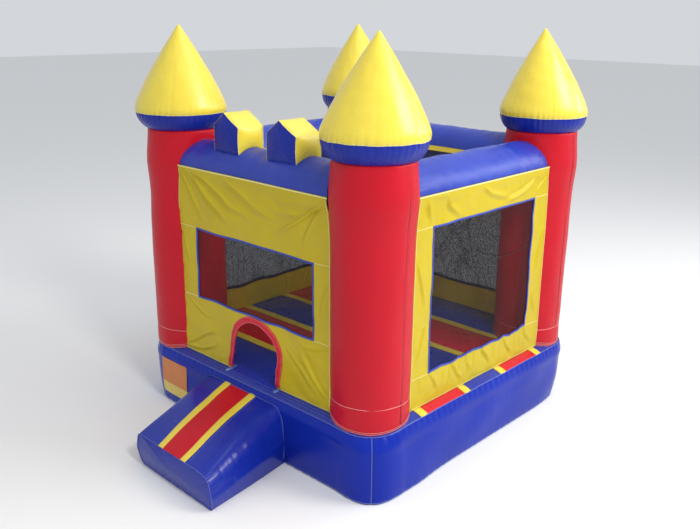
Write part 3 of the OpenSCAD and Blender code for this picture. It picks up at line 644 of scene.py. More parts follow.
for k, nm in enumerate(side_names):
    ph = np.linspace(0, 2 * PI, 121)
    tt = ph / (2 * PI)
    off, zz = BR * np.cos(ph), BZ + BR * np.sin(ph)
    xe = beam_end(off, zz) + 0.008
    s = np.linspace(-1, 1, 150)
    s = np.sign(s) * (1 - (1 - np.abs(s)) ** 1.4)
    X = s[None, :] * xe[:, None]
    end = (1 - np.abs(s))[None, :] * xe[:, None]
    R = BR + (pleat(tt, 34, 200 + k)[:, None] - 0.6) * 0.007 * np.exp(-end / 0.05)
    R = R - 0.004 * np.exp(-end / 0.03) + (0.012 * smooth(0.0, 0.6, X) if k == 0 else 0.0) + 0.0025 * field(X, ph[:, None] * BR, 210 + k, 0.5) + 0.0014 * field(X, ph[:, None] * BR * 0.6, 215 + k, 0.16)
    P = np.stack([X, -TA + R * np.cos(ph)[:, None] * -1, BZ + R * np.sin(ph)[:, None]], -1)
    P[-1] = P[0]
    o = Acc().grid(turn(P, k), uv=(ph[:, None] * BR, X), wrap_u=True,
                   out=lambda c, k=k: c - turn(np.stack([turn(c, -k)[:, 0], np.full(len(c), -TA), np.full(len(c), BZ)], -1), k)).build(
        f"tie_beam_{nm}", M["blue_beam"], slot="vinyl_blue", thick=0.002, replaces=(f"beam_{nm}",))


# ---------------------------------------------------------------- curtain walls
def folds(a, z, lines):
    """Soft ridges along polylines: each is (points, height, width)."""
    out = np.zeros_like(a)
    for pts, h, w in lines:
        p = np.array(pts, float)
        L = np.concatenate([[0], np.cumsum(np.hypot(*np.diff(p, axis=0).T))])
        best, t, sgn = np.full(a.shape, 1e9), np.zeros_like(a), np.ones_like(a)
        for i in range(len(p) - 1):
            d = p[i + 1] - p[i]
            l2 = (d * d).sum()
            s = np.clip(((a - p[i, 0]) * d[0] + (z - p[i, 1]) * d[1]) / l2, 0, 1)
            dx, dz = a - p[i, 0] - s * d[0], z - p[i, 1] - s * d[1]
            dist = np.hypot(dx, dz)
            m = dist < best
            best, t = np.where(m, dist, best), np.where(m, (L[i] + s * math.sqrt(l2)) / L[-1], t)
            sgn = np.where(m, np.sign(dx * d[1] - dz * d[0]), sgn)
        ww = w * (0.4 + 1.0 * t)
        tap = smooth(0, 0.08, t) * (1 - smooth(0.55, 1.0, t))
        ridge = np.exp(-(best / ww) ** 2) - 0.55 * np.exp(-((best * sgn - 1.7 * ww) / (1.3 * ww)) ** 2)
        out = out + h * tap * ridge
    return out


FOLDS = {
    0: [([(-0.93, 2.35), (-0.854, 2.332), (-0.686, 2.249), (-0.515, 2.113), (-0.365, 2.015), (-0.192, 1.88)], 0.013, 0.020),
        ([(-0.93, 2.35), (-0.60, 2.29), (-0.356, 2.176), (-0.246, 2.102), (-0.028, 2.049), (0.111, 1.949)], 0.010, 0.020),
        ([(-0.90, 2.355), (-0.346, 2.336), (-0.128, 2.247), (0.118, 2.134), (0.372, 2.074), (0.5, 1.99)], 0.008, 0.022),
        ([(-0.94, 2.33), (-0.80, 2.18), (-0.70, 2.03), (-0.62, 1.87)], 0.008, 0.018),
        ([(0.93, 2.345), (0.908, 2.332), (0.773, 2.223), (0.617, 2.118), (0.471, 2.034), (0.30, 1.93)], 0.012, 0.020),
        ([(0.93, 2.33), (0.908, 2.279), (0.804, 2.185), (0.742, 2.085), (0.687, 1.996), (0.66, 1.86)], 0.010, 0.018),
        ([(0.92, 2.33), (0.758, 2.297), (0.491, 2.253), (0.294, 2.278), (0.126, 2.335)], 0.008, 0.020),
        ([(0.93, 2.30), (0.80, 2.24), (0.62, 2.17), (0.40, 2.15), (0.2, 2.2)], 0.006, 0.022),
        ([(-0.95, 1.20), (-0.80, 1.08), (-0.66, 1.02), (-0.50, 1.00)], 0.005, 0.018),
        ([(-0.93, 0.66), (-0.80, 0.72), (-0.62, 0.84), (-0.46, 0.90), (-0.34, 0.92)], 0.006, 0.018),
        ([(-0.93, 0.64), (-0.70, 0.66), (-0.52, 0.74), (-0.40, 0.82)], 0.005, 0.016),
        ([(0.94, 0.70), (0.80, 0.82), (0.66, 0.98), (0.58, 1.10)], 0.007, 0.020),
        ([(0.45, 1.02), (0.60, 0.90), (0.72, 0.80), (0.86, 0.70)], 0.005, 0.022),
        ([(0.94, 1.14), (0.80, 1.10), (0.62, 1.08)], 0.004, 0.016),
        ([(-0.94, 1.80), (-0.86, 1.60), (-0.80, 1.40)], 0.005, 0.014),
        ([(0.94, 1.70), (0.88, 1.50), (0.84, 1.30)], 0.006, 0.014)],
    1: [([(-0.93, 2.34), (-0.827, 2.329), (-0.795, 2.205), (-0.742, 2.12)], 0.008, 0.016),
        ([(-0.90, 2.35), (-0.586, 2.322), (-0.529, 2.221), (-0.394, 2.137), (-0.262, 2.13)], 0.010, 0.018),
        ([(-0.4, 2.355), (-0.124, 2.340), (0.027, 2.245), (0.396, 2.15), (0.55, 2.12)], 0.007, 0.024),
        ([(0.93, 2.34), (0.74, 2.30), (0.654, 2.251), (0.508, 2.189), (0.271, 2.141), (0.1, 2.12)], 0.010, 0.018),
        ([(0.93, 2.30), (0.82, 2.20), (0.74, 2.12)], 0.007, 0.014),
        ([(-0.421, 0.860), (-0.38, 0.80), (-0.328, 0.731), (-0.24, 0.66)], 0.008, 0.016),
        ([(0.028, 0.87), (0.06, 0.82), (0.099, 0.776), (0.172, 0.66)], 0.008, 0.016),
        ([(0.686, 0.87), (0.77, 0.765), (0.88, 0.66)], 0.007, 0.015),
        ([(-0.73, 0.86), (-0.66, 0.78), (-0.62, 0.70), (-0.60, 0.64)], 0.006, 0.015),
        ([(0.38, 0.85), (0.42, 0.78), (0.50, 0.70), (0.54, 0.64)], 0.006, 0.016),
        ([(-0.20, 0.86), (-0.18, 0.78), (-0.12, 0.70)], 0.005, 0.014),
        ([(-0.93, 1.85), (-0.85, 1.60), (-0.80, 1.40)], 0.006, 0.014),
        ([(-0.80, 1.30), (-0.86, 1.10), (-0.92, 0.95)], 0.006, 0.014),
        ([(0.93, 1.80), (0.86, 1.55), (0.80, 1.30)], 0.006, 0.014),
        ([(0.80, 1.20), (0.85, 1.05), (0.92, 0.92)], 0.005, 0.014)],
}
for k in (2, 3):
    r = np.random.default_rng(700 + k)
    FOLDS[k] = []
    for sgn in (-1, 1):
        for _ in range(4):
            e, drop = r.uniform(0.15, 0.8), r.uniform(0.10, 0.24)
            FOLDS[k].append(([(sgn * 0.93, 2.345), (sgn * (0.93 - e * 0.5), 2.34 - drop * 0.45), (sgn * (0.93 - e), 2.34 - drop)], r.uniform(0.006, 0.011), r.uniform(0.016, 0.022)))
        for _ in range(2):
            z0 = r.uniform(1.0, 1.8)
            FOLDS[k].append(([(sgn * 0.93, z0), (sgn * 0.85, z0 - 0.15), (sgn * 0.79, z0 - 0.3)], 0.006, 0.014))
    for x0 in (-0.6, -0.25, 0.1, 0.45, 0.7):
        x0 += r.uniform(-0.08, 0.08)
        FOLDS[k].append(([(x0, 0.865), (x0 + 0.05, 0.77), (x0 + r.uniform(0.06, 0.16), 0.66)], r.uniform(0.005, 0.008), 0.016))

WIN = {0: (-0.708, 0.768, 1.178, 1.806), 1: (-0.735, 0.725, 0.880, 2.090), 2: (-0.725, 0.730, 0.872, 2.090), 3: (-0.73, 0.728, 0.868, 2.090)}
SCALLOP = {1: ([-0.8, -0.734, -0.58, -0.421, -0.33, -0.229, -0.10, 0.03, 0.16, 0.303, 0.38, 0.461, 0.58, 0.683, 0.8],
               [0.0, 0.002, 0.010, -0.012, 0.004, 0.002, 0.011, -0.009, 0.006, -0.016, 0.002, -0.022, 0.0, 0.018, 0.0])}


def warp(k, a, z):
    """The curtain's in-plane shift: window edges that wave a little."""
    x0, x1, z0, z1 = WIN[k]
    s = 0.0035 if k == 0 else 0.006
    if k in SCALLOP:
        bot = np.interp(a, *SCALLOP[k])
    else:
        bot = s * 1.3 * field(a, a * 0, 300 + k, 0.34)
    top = 0.7 * s * field(a, a * 0, 310 + k, 0.5)
    dz = bot * np.exp(-np.abs(z - z0) / 0.09) + top * np.exp(-np.abs(z - z1) / 0.08)
    da = s * field(z, z * 0, 320 + k, 0.45) * np.exp(-np.abs(a - x0) / 0.06) + s * field(z, z * 0, 330 + k, 0.45) * np.exp(-np.abs(a - x1) / 0.06)
    edge = smooth(0, 0.08, 0.96 - np.abs(a))
    low = smooth(0.61, 0.70, z) * (1 - smooth(2.30, 2.36, z))
    return a + da * edge * low, z + dz * edge * low


def wall_off(k, a, z):
    """Outward shift of the curtain at a across and z up."""
    env = smooth(0, 0.06, 2.368 - z) * smooth(0, 0.05, z - 0.60) * smooth(-0.005, 0.05, 0.965 - np.abs(a))
    o = (2.0 if k == 0 else 1.9) * folds(a, z, FOLDS[k]) + 0.0042 * field(a, z, 340 + k, 0.42) + 0.0012 * field(a, z, 350 + k, 0.13)
    if k:
        o = o + (0.012 * pleat((a + 1) / 2, 5, 345 + k, 0.8) - 0.006) * np.exp(-((z - 0.75) / 0.13) ** 2)
    # the foot of the curtain puckers at its seam, and so do its edges at the towers
    o = o + 0.0045 * (pleat((a + 1) / 2, 26, 360 + k) - 0.55) * np.exp(-(z - 0.612) / 0.05)
    o = o + 0.0035 * (pleat((z - 0.6) / 1.8, 22, 370 + k) - 0.55) * np.exp(-(0.955 - np.abs(a)) / 0.035)
    o = np.clip(o, -0.020, 0.030) * env
    # near its top the curtain lies on the beam
    beam = TA + np.sqrt(np.maximum((BR + 0.004 + (0.010 * smooth(0.0, 0.6, a) if k == 0 else 0.0)) ** 2 - (z - BZ) ** 2, 0)) - WALL + 0.0035
    return np.where(z > BZ - BR, np.maximum(o, beam), o)


def wall_pt(k, a, z, lift=0.0):
    aw, zw = warp(k, a, z)
    y = -(WALL + wall_off(k, a, z) + lift)
    return turn(np.stack([aw, y, zw], -1), k)


def tower_edge(z):
    return TA - np.sqrt(tower_r(z) ** 2 - (WALL - TA) ** 2)


# entrance outline, measured across the front wall
DOOR_OUT = [(-0.320, 0.612), (-0.312, 0.66), (-0.293, 0.734), (-0.269, 0.865), (-0.235, 0.996), (-0.17, 1.081), (-0.06, 1.146), (0.056, 1.164), (0.188, 1.149), (0.284, 1.098), (0.362, 1.026),
            (0.408, 0.939), (0.410, 0.857), (0.394, 0.77), (0.380, 0.69), (0.372, 0.612)]
DOOR_IN = [(-0.262, 0.612), (-0.257, 0.67), (-0.236, 0.76), (-0.212, 0.870), (-0.178, 0.965), (-0.125, 1.035), (-0.048, 1.085), (0.050, 1.104), (0.150, 1.090), (0.248, 1.042), (0.318, 0.975),
           (0.350, 0.898), (0.342, 0.82), (0.322, 0.755), (0.318, 0.69), (0.316, 0.612)]


def curve2(pts, n):
    p = np.array(pts, float)
    q = [p[0]]
    for i in range(len(p) - 1):
        a_, b_, c_, d_ = p[max(i - 1, 0)], p[i], p[i + 1], p[min(i + 2, len(p) - 1)]
        for t in np.linspace(0, 1, 13)[1:]:
            q.append(0.5 * ((2 * b_) + (c_ - a_) * t + (2 * a_ - 5 * b_ + 4 * c_ - d_) * t * t + (3 * b_ - a_ - 3 * c_ + d_) * t ** 3))
    q = np.array(q)
    L = np.concatenate([[0], np.cumsum(np.hypot(*np.diff(q, axis=0).T))])
    s = np.linspace(0, L[-1], n)
    return np.stack([np.interp(s, L, q[:, 0]), np.interp(s, L, q[:, 1])], 1)


d_out, d_in = curve2(DOOR_OUT, 200), curve2(DOOR_IN, 200)
cut = d_in * 0.72 + d_out * 0.28


def inside(poly, x, z):
    c = np.zeros(x.shape, bool)
    p = np.vstack([poly, poly[:1]])
    for (x1, z1), (x2, z2) in zip(p[:-1], p[1:]):
        if z1 != z2:
            c ^= ((z1 > z) != (z2 > z)) & (x < (x2 - x1) * (z - z1) / (z2 - z1) + x1)
    return c


walls, windows = {}, {}
for k, nm in enumerate(side_names):
    x0, x1, z0, z1 = WIN[k]
    A0, Z0 = cells(-0.962, 0.962, 0.011, (x0, x1)), cells(0.600, 2.361, 0.011, (z0, z1))
    A, Z = np.meshgrid(A0, Z0, indexing="ij")
    ca, cz = (A[:-1, :-1] + A[1:, 1:]) / 2, (Z[:-1, :-1] + Z[1:, 1:]) / 2
    keep = ~((ca > x0) & (ca < x1) & (cz > z0) & (cz < z1))
    area = 1.924 * 1.76 - (x1 - x0) * (z1 - z0)
    if k == 0:
        poly = np.vstack([[(cut[0, 0], 0.55)], cut, [(cut[-1, 0], 0.55)]])
        hole = inside(poly, ca, cz)
        keep &= ~hole
        area -= hole.sum() * 0.011 * 0.011
        # the opening's edge follows the outline
        touch = np.zeros(A.shape, int)
        for di, dj in ((0, 0), (1, 0), (0, 1), (1, 1)):
            touch[di:di + hole.shape[0], dj:dj + hole.shape[1]] += hole
        full = np.full(A.shape, 4)
        ei, ej = np.nonzero((touch > 0) & (touch < full))
        fine = curve2(cut, 1500)
        for i, j in zip(ei, ej):
            if Z[i, j] > 0.605:
                d = np.hypot(fine[:, 0] - A[i, j], fine[:, 1] - Z[i, j])
                A[i, j], Z[i, j] = fine[d.argmin()]
    # the edges meet the towers, the foot stands on the floor
    ae = tower_edge(Z) + 0.006
    stretch = 1 + (ae / 0.962 - 1) * (np.abs(A) / 0.962) ** 8
    P = wall_pt(k, A * stretch, Z)
    foot = floor_h(P[..., 0], P[..., 1]) - 0.002
    P[..., 2] = P[..., 2] + (foot - 0.600) * np.exp(-np.maximum(Z - 0.600, 0) / 0.03)
    walls[k] = Acc().grid(P, uv=(A, Z), mask=keep, out=lambda c, k=k: turn(np.array([[0, -1.0, 0]]), k)).build(
        f"curtain_{nm}", M["yellow_wall"], slot="curtain_yellow", thick=0.0018, replaces=(f"wall_{nm}",))
    # light seams at the window's two levels, along the top, the foot and the upright edges
    for zz in (z0 - 0.012, z1 + 0.012):
        for lo, hi in ((-0.955, x0 - 0.02), (x1 + 0.02, 0.955)):
            t = np.linspace(lo, hi, 30)
            ribbon(seam_y, wall_pt(k, t, np.full_like(t, zz)), turn(np.array([0, -1.0, 0]), k), 0.006, rise=0.0012)
    t = np.linspace(-0.945, 0.945, 200)
    ribbon(seam_y, wall_pt(k, t, np.full_like(t, 2.352)), turn(np.array([0, -1.0, 0]), k), 0.010, rise=0.0022)
    for lo, hi in (((-0.945, cut[0, 0] - 0.06), (cut[-1, 0] + 0.06, 0.945)) if k == 0 else ((-0.945, 0.945),)):
        t = np.linspace(lo, hi, 160)
        q = wall_pt(k, t, np.full_like(t, 0.622))
        q[:, 2] = floor_h(q[:, 0], q[:, 1]) + 0.012
        ribbon(seam_y, q, turn(np.array([0, -1.0, 0]), k), 0.006, rise=0.0012)
    for sg in (-1, 1):
        z = np.linspace(0.64, 2.34, 160)
        ribbon(seam_y, wall_pt(k, sg * (tower_edge(z) - 0.006), z), turn(np.array([0, -1.0, 0]), k), 0.006, rise=0.0012)

    # binding: a folded tape over the window's raw edge
    n = 90
    e = np.linspace(0, 1, n)[:-1]
    loop = np.concatenate([np.stack([x0 + (x1 - x0) * e, e * 0 + z0], 1), np.stack([e * 0 + x1, z0 + (z1 - z0) * e], 1),
                           np.stack([x1 - (x1 - x0) * e, e * 0 + z1], 1), np.stack([e * 0 + x0, z1 - (z1 - z0) * e], 1)])
    m = n - 1
    dirn = np.concatenate([np.tile([0, -1.0], (m, 1)), np.tile([1.0, 0], (m, 1)), np.tile([0, 1.0], (m, 1)), np.tile([-1.0, 0], (m, 1))])
    for c_, d_ in ((0, (-1, -1)), (m, (1, -1)), (2 * m, (1, 1)), (3 * m, (-1, 1))):
        dirn[c_] = d_
    sec = [(0.0155, 0.0008), (0.0145, 0.0030), (0.010, 0.0040), (0.003, 0.0040), (-0.0015, 0.0020), (-0.002, -0.0010), (-0.0010, -0.0045),
           (0.004, -0.0062), (0.014, -0.0062), (0.0225, -0.0050), (0.0235, -0.0030)]
    lo_ = np.concatenate([loop, loop[:1]])
    dr_ = np.concatenate([dirn, dirn[:1]])
    P = np.stack([wall_pt(k, lo_[:, 0] + dr_[:, 0] * s_, lo_[:, 1] + dr_[:, 1] * s_, lift=h_) for s_, h_ in sec], 1)
    L = np.concatenate([[0], np.cumsum(np.hypot(*np.diff(lo_, axis=0).T))])
    windows[k] = Acc().grid(P, uv=(L[:, None], np.linspace(0, 0.06, len(sec))[None, :]), wrap_u=True,
                            out=lambda c, k=k, z0=z0, z1=z1: turn(np.stack([0 * c[:, 0], -np.sign(-turn(c, -k)[:, 1] - WALL + 0.001), 0 * c[:, 0]], -1), k)).build(
        f"window_tape_{nm}", M["binding"], slot="binding_blue", thick=0.0012, replaces=(f"binding_{nm}",))


# ---------------------------------------------------------------- nets
def lattice(x0, x1, z0, z1, pitch, w):
    nx, nz = int((x1 - x0) / pitch), int((z1 - z0) / pitch)
    px, pz = (x1 - x0 - w) / nx, (z1 - z0 - w) / nz
    xs = (x0 + w / 2 + np.arange(nx + 1) * px)[:, None] + np.array([-w / 2, w / 2])[None, :]
    zs = (z0 + w / 2 + np.arange(nz + 1) * pz)[:, None] + np.array([-w / 2, w / 2])[None, :]
    X, Z = np.meshgrid(xs.ravel(), zs.ravel(), indexing="ij")
    i, j = np.meshgrid(np.arange(X.shape[0] - 1), np.arange(X.shape[1] - 1), indexing="ij")
    return X, Z, (i % 2 == 0) | (j % 2 == 0)


NET_FOLDS = {
    0: [([(-0.70, 1.80), (-0.3, 1.5), (0.0, 1.3)], 0.006, 0.02), ([(0.75, 1.80), (0.5, 1.5), (0.35, 1.25)], 0.006, 0.02)],
    1: [([(-0.739, 1.89), (-0.551, 1.867), (-0.319, 1.876), (-0.148, 1.784), (0.089, 1.684), (0.271, 1.646), (0.70, 1.665)], 0.012, 0.012),
        ([(0.70, 2.05), (0.52, 1.60), (0.47, 1.25), (0.55, 0.95)], 0.008, 0.016)],
    2: [([(-0.7, 2.05), (-0.2, 1.6), (0.1, 1.2)], 0.010, 0.022), ([(0.7, 2.0), (0.4, 1.5), (0.3, 1.0)], 0.010, 0.022)],
    3: [([(0.65, 2.05), (0.30, 1.60), (-0.10, 1.20), (-0.45, 0.95)], 0.006, 0.018), ([(0.30, 2.05), (0.0, 1.55), (-0.2, 1.25), (-0.30, 0.95)], 0.005, 0.018),
        ([(-0.1, 2.0), (-0.25, 1.5), (-0.35, 1.1)], 0.010, 0.018)],
}
PITCH = {0: 0.0110, 1: 0.0120, 2: 0.0125, 3: 0.0125}
NETW = {0: 0.0020, 1: 0.0020, 2: 0.0094, 3: 0.0094}
for k, nm in enumerate(side_names):
    x0, x1, z0, z1 = WIN[k]
    X, Z, keep = lattice(x0 - 0.013, x1 + 0.013, z0 - 0.013, z1 + 0.013, PITCH[k], NETW[k])
    w, h = x1 - x0 + 0.026, z1 - z0 + 0.026
    # the net takes up the waves of the tape, and hangs a little slack between
    fx, fz = np.clip((X - x0) / (x1 - x0), 0, 1), np.clip((Z - z0) / (z1 - z0), 0, 1)
    xb, zb_ = warp(k, X, np.full_like(X, z0)); xt, zt_ = warp(k, X, np.full_like(X, z1))
    xl, zl_ = warp(k, np.full_like(X, x0), Z); xr, zr_ = warp(k, np.full_like(X, x1), Z)
    dz = (zb_ - z0) * (1 - fz) + (zt_ - z1) * fz
    dx = (xl - x0) * (1 - fx) + (xr - x1) * fx
    ob, ot = wall_off(k, X, np.full_like(X, z0 - 0.005)), wall_off(k, X, np.full_like(X, z1 + 0.005))
    ol, or_ = wall_off(k, np.full_like(X, x0 - 0.005), Z), wall_off(k, np.full_like(X, x1 + 0.005), Z)
    wz, wx = np.minimum(fz, 1 - fz) + 1e-3, np.minimum(fx, 1 - fx) + 1e-3
    base = ((ob * (1 - fz) + ot * fz) / wz + (ol * (1 - fx) + or_ * fx) / wx) / (1 / wz + 1 / wx)
    slack = (4 * fx * (1 - fx)) ** 0.5 * (4 * fz * (1 - fz)) ** 0.5
    y = base - 0.0042 - slack * (0.006 + 0.006 * field(X, Z, 400 + k, 0.5) + folds(X, Z, NET_FOLDS[k]))
    jit = 0.0007
    P = np.stack([X + dx + jit * field(X, Z, 410 + k, 0.05, 8), -(WALL + y), Z + dz + jit * field(X, Z, 420 + k, 0.05, 8)], -1)
    o = Acc().grid(turn(P, k), uv=(X, Z), mask=keep, out=lambda c, k=k: turn(np.array([[0, -1.0, 0]]), k)).build(
        f"window_mesh_{nm}", M["net"] if k < 2 else M["net_dense"], slot="black_netting", replaces=(f"net_{nm}",))
# a thin dark ribbon along the fold across the right-hand net
p = curve2([(-0.742, 1.89), (-0.551, 1.867), (-0.319, 1.876), (-0.148, 1.784), (0.089, 1.684), (0.271, 1.646), (0.45, 1.645), (0.728, 1.675)], 120)
q = turn(np.stack([p[:, 0], np.full(120, -(WALL - 0.003)), p[:, 1]], -1), 1)
fx = (p[:, 0] - WIN[1][0]) / (WIN[1][1] - WIN[1][0])
fz = (p[:, 1] - WIN[1][2]) / (WIN[1][3] - WIN[1][2])
sl = (4 * np.clip(fx * (1 - fx), 0, 1)) ** 0.5 * (4 * fz * (1 - fz)) ** 0.5
q[:, 0] -= sl * (0.006 + 0.006 * field(p[:, 0], p[:, 1], 401, 0.5) + folds(p[:, 0], p[:, 1], NET_FOLDS[1])) - 0.0015
ns = Acc()
ribbon(ns, q, np.array([1.0, 0, 0]), 0.005, rise=0.0008)
ns.build("net_dark_line_right", M["binding_dark"], slot="black_netting", thick=0.0008)

hem = Acc()
for k, nm in enumerate(side_names):
    x0, x1, z0, z1 = WIN[k]
    wd = 0.030 if k > 1 else 0.010
    for a0, b0, a1, b1 in ((x0 - 0.006, z0 - 0.002, x1 + 0.006, z0 - 0.002), (x0 - 0.006, z1 + 0.002, x1 + 0.006, z1 + 0.002), (x0 - 0.002, z0, x0 - 0.002, z1), (x1 + 0.002, z0, x1 + 0.002, z1)):
        t = np.linspace(0, 1, 60)
        aa, bb = a0 + (a1 - a0) * t, b0 + (b1 - b0) * t
        aw, zw = warp(k, aa, bb)
        q = turn(np.stack([aw, -(WALL + wall_off(k, aa, bb) - 0.0085), zw], -1), k)
        ribbon(hem, q, turn(np.array([0, 1.0, 0]), k), wd, rise=0.001)


def net_depth(k, a, z):
    x0, x1, z0, z1 = WIN[k]
    fx, fz = np.clip((a - x0) / (x1 - x0), 0, 1), np.clip((z - z0) / (z1 - z0), 0, 1)
    slack = (4 * fx * (1 - fx)) ** 0.5 * (4 * fz * (1 - fz)) ** 0.5
    return -0.0042 - slack * (0.006 + 0.006 * field(a, z, 400 + k, 0.5) + folds(a, z, NET_FOLDS[k]))


# dark ribbons along the far nets' folds: painted crease shade
for pts, _, _ in NET_FOLDS[3] + NET_FOLDS[2]:
    kk = 3 if (pts, _, _) in NET_FOLDS[3] else 2
    c_ = curve2(pts, 70)
    q = turn(np.stack([c_[:, 0], -(WALL + net_depth(kk, c_[:, 0], c_[:, 1]) - 0.002), c_[:, 1]], -1), kk)
    ribbon(hem, q, turn(np.array([0, 1.0, 0]), kk), 0.008, rise=0.0005)
hem.build("net_hems_and_crease_shade", M["binding_dark"], slot="black_netting", thick=0.0008)

# roof: a yellow strip round the edge and a dark net
X, Z, keep = lattice(-0.818, 0.818, -0.818, 0.818, 0.0125, 0.0021)
u_, v_ = np.clip(np.abs(X) / 0.82, 0, 1), np.clip(np.abs(Z) / 0.82, 0, 1)
P = np.stack([X, Z, 2.377 - 0.050 * (1 - u_ ** 2) * (1 - v_ ** 2) + 0.004 * field(X, Z, 430, 0.5) * (1 - u_ ** 4) * (1 - v_ ** 4)], -1)
o = Acc().grid(P, uv=(X, Z), mask=keep, out=lambda c: np.array([0, 0, 1.0])).build("roof_mesh", M["net"], slot="black_netting", replaces=("roof_net",))
a = Acc()
u = np.linspace(0, 4, 481)
inner, _ = outline(u)
side = np.floor(u + 1e-9).astype(int) % 4
tq = u - np.floor(u + 1e-9)


def square(u, h, r=0.02):
    k, t = np.floor(u + 1e-9).astype(int) % 4, u - np.floor(u + 1e-9)
    x, y = -h + 2 * h * t, np.full_like(t, -h)
    P = np.zeros((len(u), 2))
    for q_ in range(4):
        c, s_ = [(1, 0), (0, 1), (-1, 0), (0, -1)][q_]
        m_ = k == q_
        P[m_, 0], P[m_, 1] = (x * c - y * s_)[m_], (x * s_ + y * c)[m_]
    return P


rows = []
for t in np.linspace(0, 1, 9):
    h = 0.800 + (0.948 - 0.800) * t
    Q = square(u, h)
    z = 2.377 + (2.398 - 2.377) * t + 0.0035 * band(u / 4, 10, 40, 10, 440) * math.sin(PI * t) - 0.006 * math.sin(PI * t)
    rows.append(np.concatenate([Q, z[:, None]], 1))
P = np.stack(rows, 1)
o = Acc().grid(P, uv=(u[:, None] * 1.75, np.linspace(0, 0.15, 9)[None, :]), wrap_u=True, out=lambda c: np.array([0, 0, 1.0])).build(
    "roof_edge_strip", M["yellow_wall"], slot="curtain_yellow", thick=0.0018, replaces=("roof_strip",))


# ---------------------------------------------------------------- entrance trim and straps
n = 200
t = np.linspace(0, 1, n)
wob = 0.0030 * (pleat(t, 13, 500) - 0.5) + 0.0015 * band(t, 4, 12, 6, 501)
inw = 0.004 * band(t, 6, 16, 8, 502) * np.sin(PI * t) ** 0.3
rows = []
span = d_in - d_out
for s_, h_ in [(0.0, 0.0008), (0.02, 0.0030), (0.20, 0.0042), (0.5, 0.0056), (0.8, 0.0052), (0.96, 0.0036), (1.0, 0.0), (0.99, -0.004), (0.93, -0.0068), (0.6, -0.0070), (0.25, -0.0062), (0.20, -0.0035)]:
    p = d_out + span * s_ + (span / np.linalg.norm(span, axis=1, keepdims=True)) * (inw * s_)[:, None]
    y = -(WALL + wall_off(0, p[:, 0], p[:, 1]) + h_ + wob * (1 if h_ > 0 else 0.4))
    rows.append(np.stack([p[:, 0], y, np.maximum(p[:, 1], floor_h(p[:, 0], y) + 0.001)], -1))
P = np.stack(rows, 1)
L = np.linspace(0, 1.5, n)
trim = Acc().grid(P, uv=(L[:, None], np.linspace(0, 0.14, len(rows))[None, :]), out=lambda c: np.stack([0 * c[:, 0], -np.sign(-c[:, 1] - WALL + 0.0005), 0 * c[:, 0]], -1)).build(
    "entrance_trim", M["trim"], slot="trim_red", thick=0.0015, replaces=("door_trim",))
a = Acc()
for s_ in (0.10, 0.86):
    p = d_out + span * s_
    y = -(WALL + wall_off(0, p[:, 0], p[:, 1]) + 0.0058 + wob)
    ribbon(a, np.stack([p[:, 0], y, p[:, 1]], -1)[3:-3], np.array([0, -1.0, 0]), 0.004, rise=0.0004)
a.build("entrance_stitching", M["seam_red"], slot="trim_red", thick=0.0006, offset=1.0)

a = Acc()
for sg, xc in ((-1, -0.290), (1, 0.347)):
    # a patch over the floor under the trim's foot, front to back
    y = np.linspace(-1.474, -1.362, 40)
    xx = xc + 0.010 * np.sin(y * 30)
    z = floor_h(xx, y) + 0.0008 + 0.0012 * band((y + 1.5) / 0.15, 1, 4, 4, 510 + sg)
    ribbon(a, np.stack([xx, y, z], -1), np.array([0, 0, 1.0]), 0.046, rise=0.001, across=7, crown=0.002)
a.build("entrance_corner_straps", M["reinf"], slot="reinforcing_vinyl", thick=0.0012, offset=1.0, replaces=("door_corner_straps",))


# ---------------------------------------------------------------- battlement blocks
def block_outline(y, n, hl, hr, rx):
    """The section's outline at depth y: from the right foot over the ridge to the left foot, with marks of its corners."""
    eave, ridge = 2.748, 2.861
    foot = BZ + math.sqrt(max(BR ** 2 - (y + TA) ** 2, 0)) - 0.004
    pts = [(hr, foot), (hr, eave), (rx, ridge), (-hl, eave), (-hl, foot)]
    cuts = [0, 0.32, 0.5, 0.68, 1]
    s = np.linspace(0, 1, n)
    x = np.interp(s, cuts, [p_[0] for p_ in pts])
    z = np.interp(s, cuts, [p_[1] for p_ in pts])
    nx = np.select([s < 0.32, s < 0.5, s < 0.68], [1.0, 0.558, -0.558], -1.0)
    nz = np.select([s < 0.32, s < 0.5, s < 0.68], [0.0, 0.830, 0.830], 0.0)
    loc = np.select([s < 0.32, s < 0.5, s < 0.68], [s / 0.32, (s - 0.32) / 0.18, (s - 0.5) / 0.18], (s - 0.68) / 0.32)
    return s, x, z, nx, nz, np.clip(loc, 0, 1)


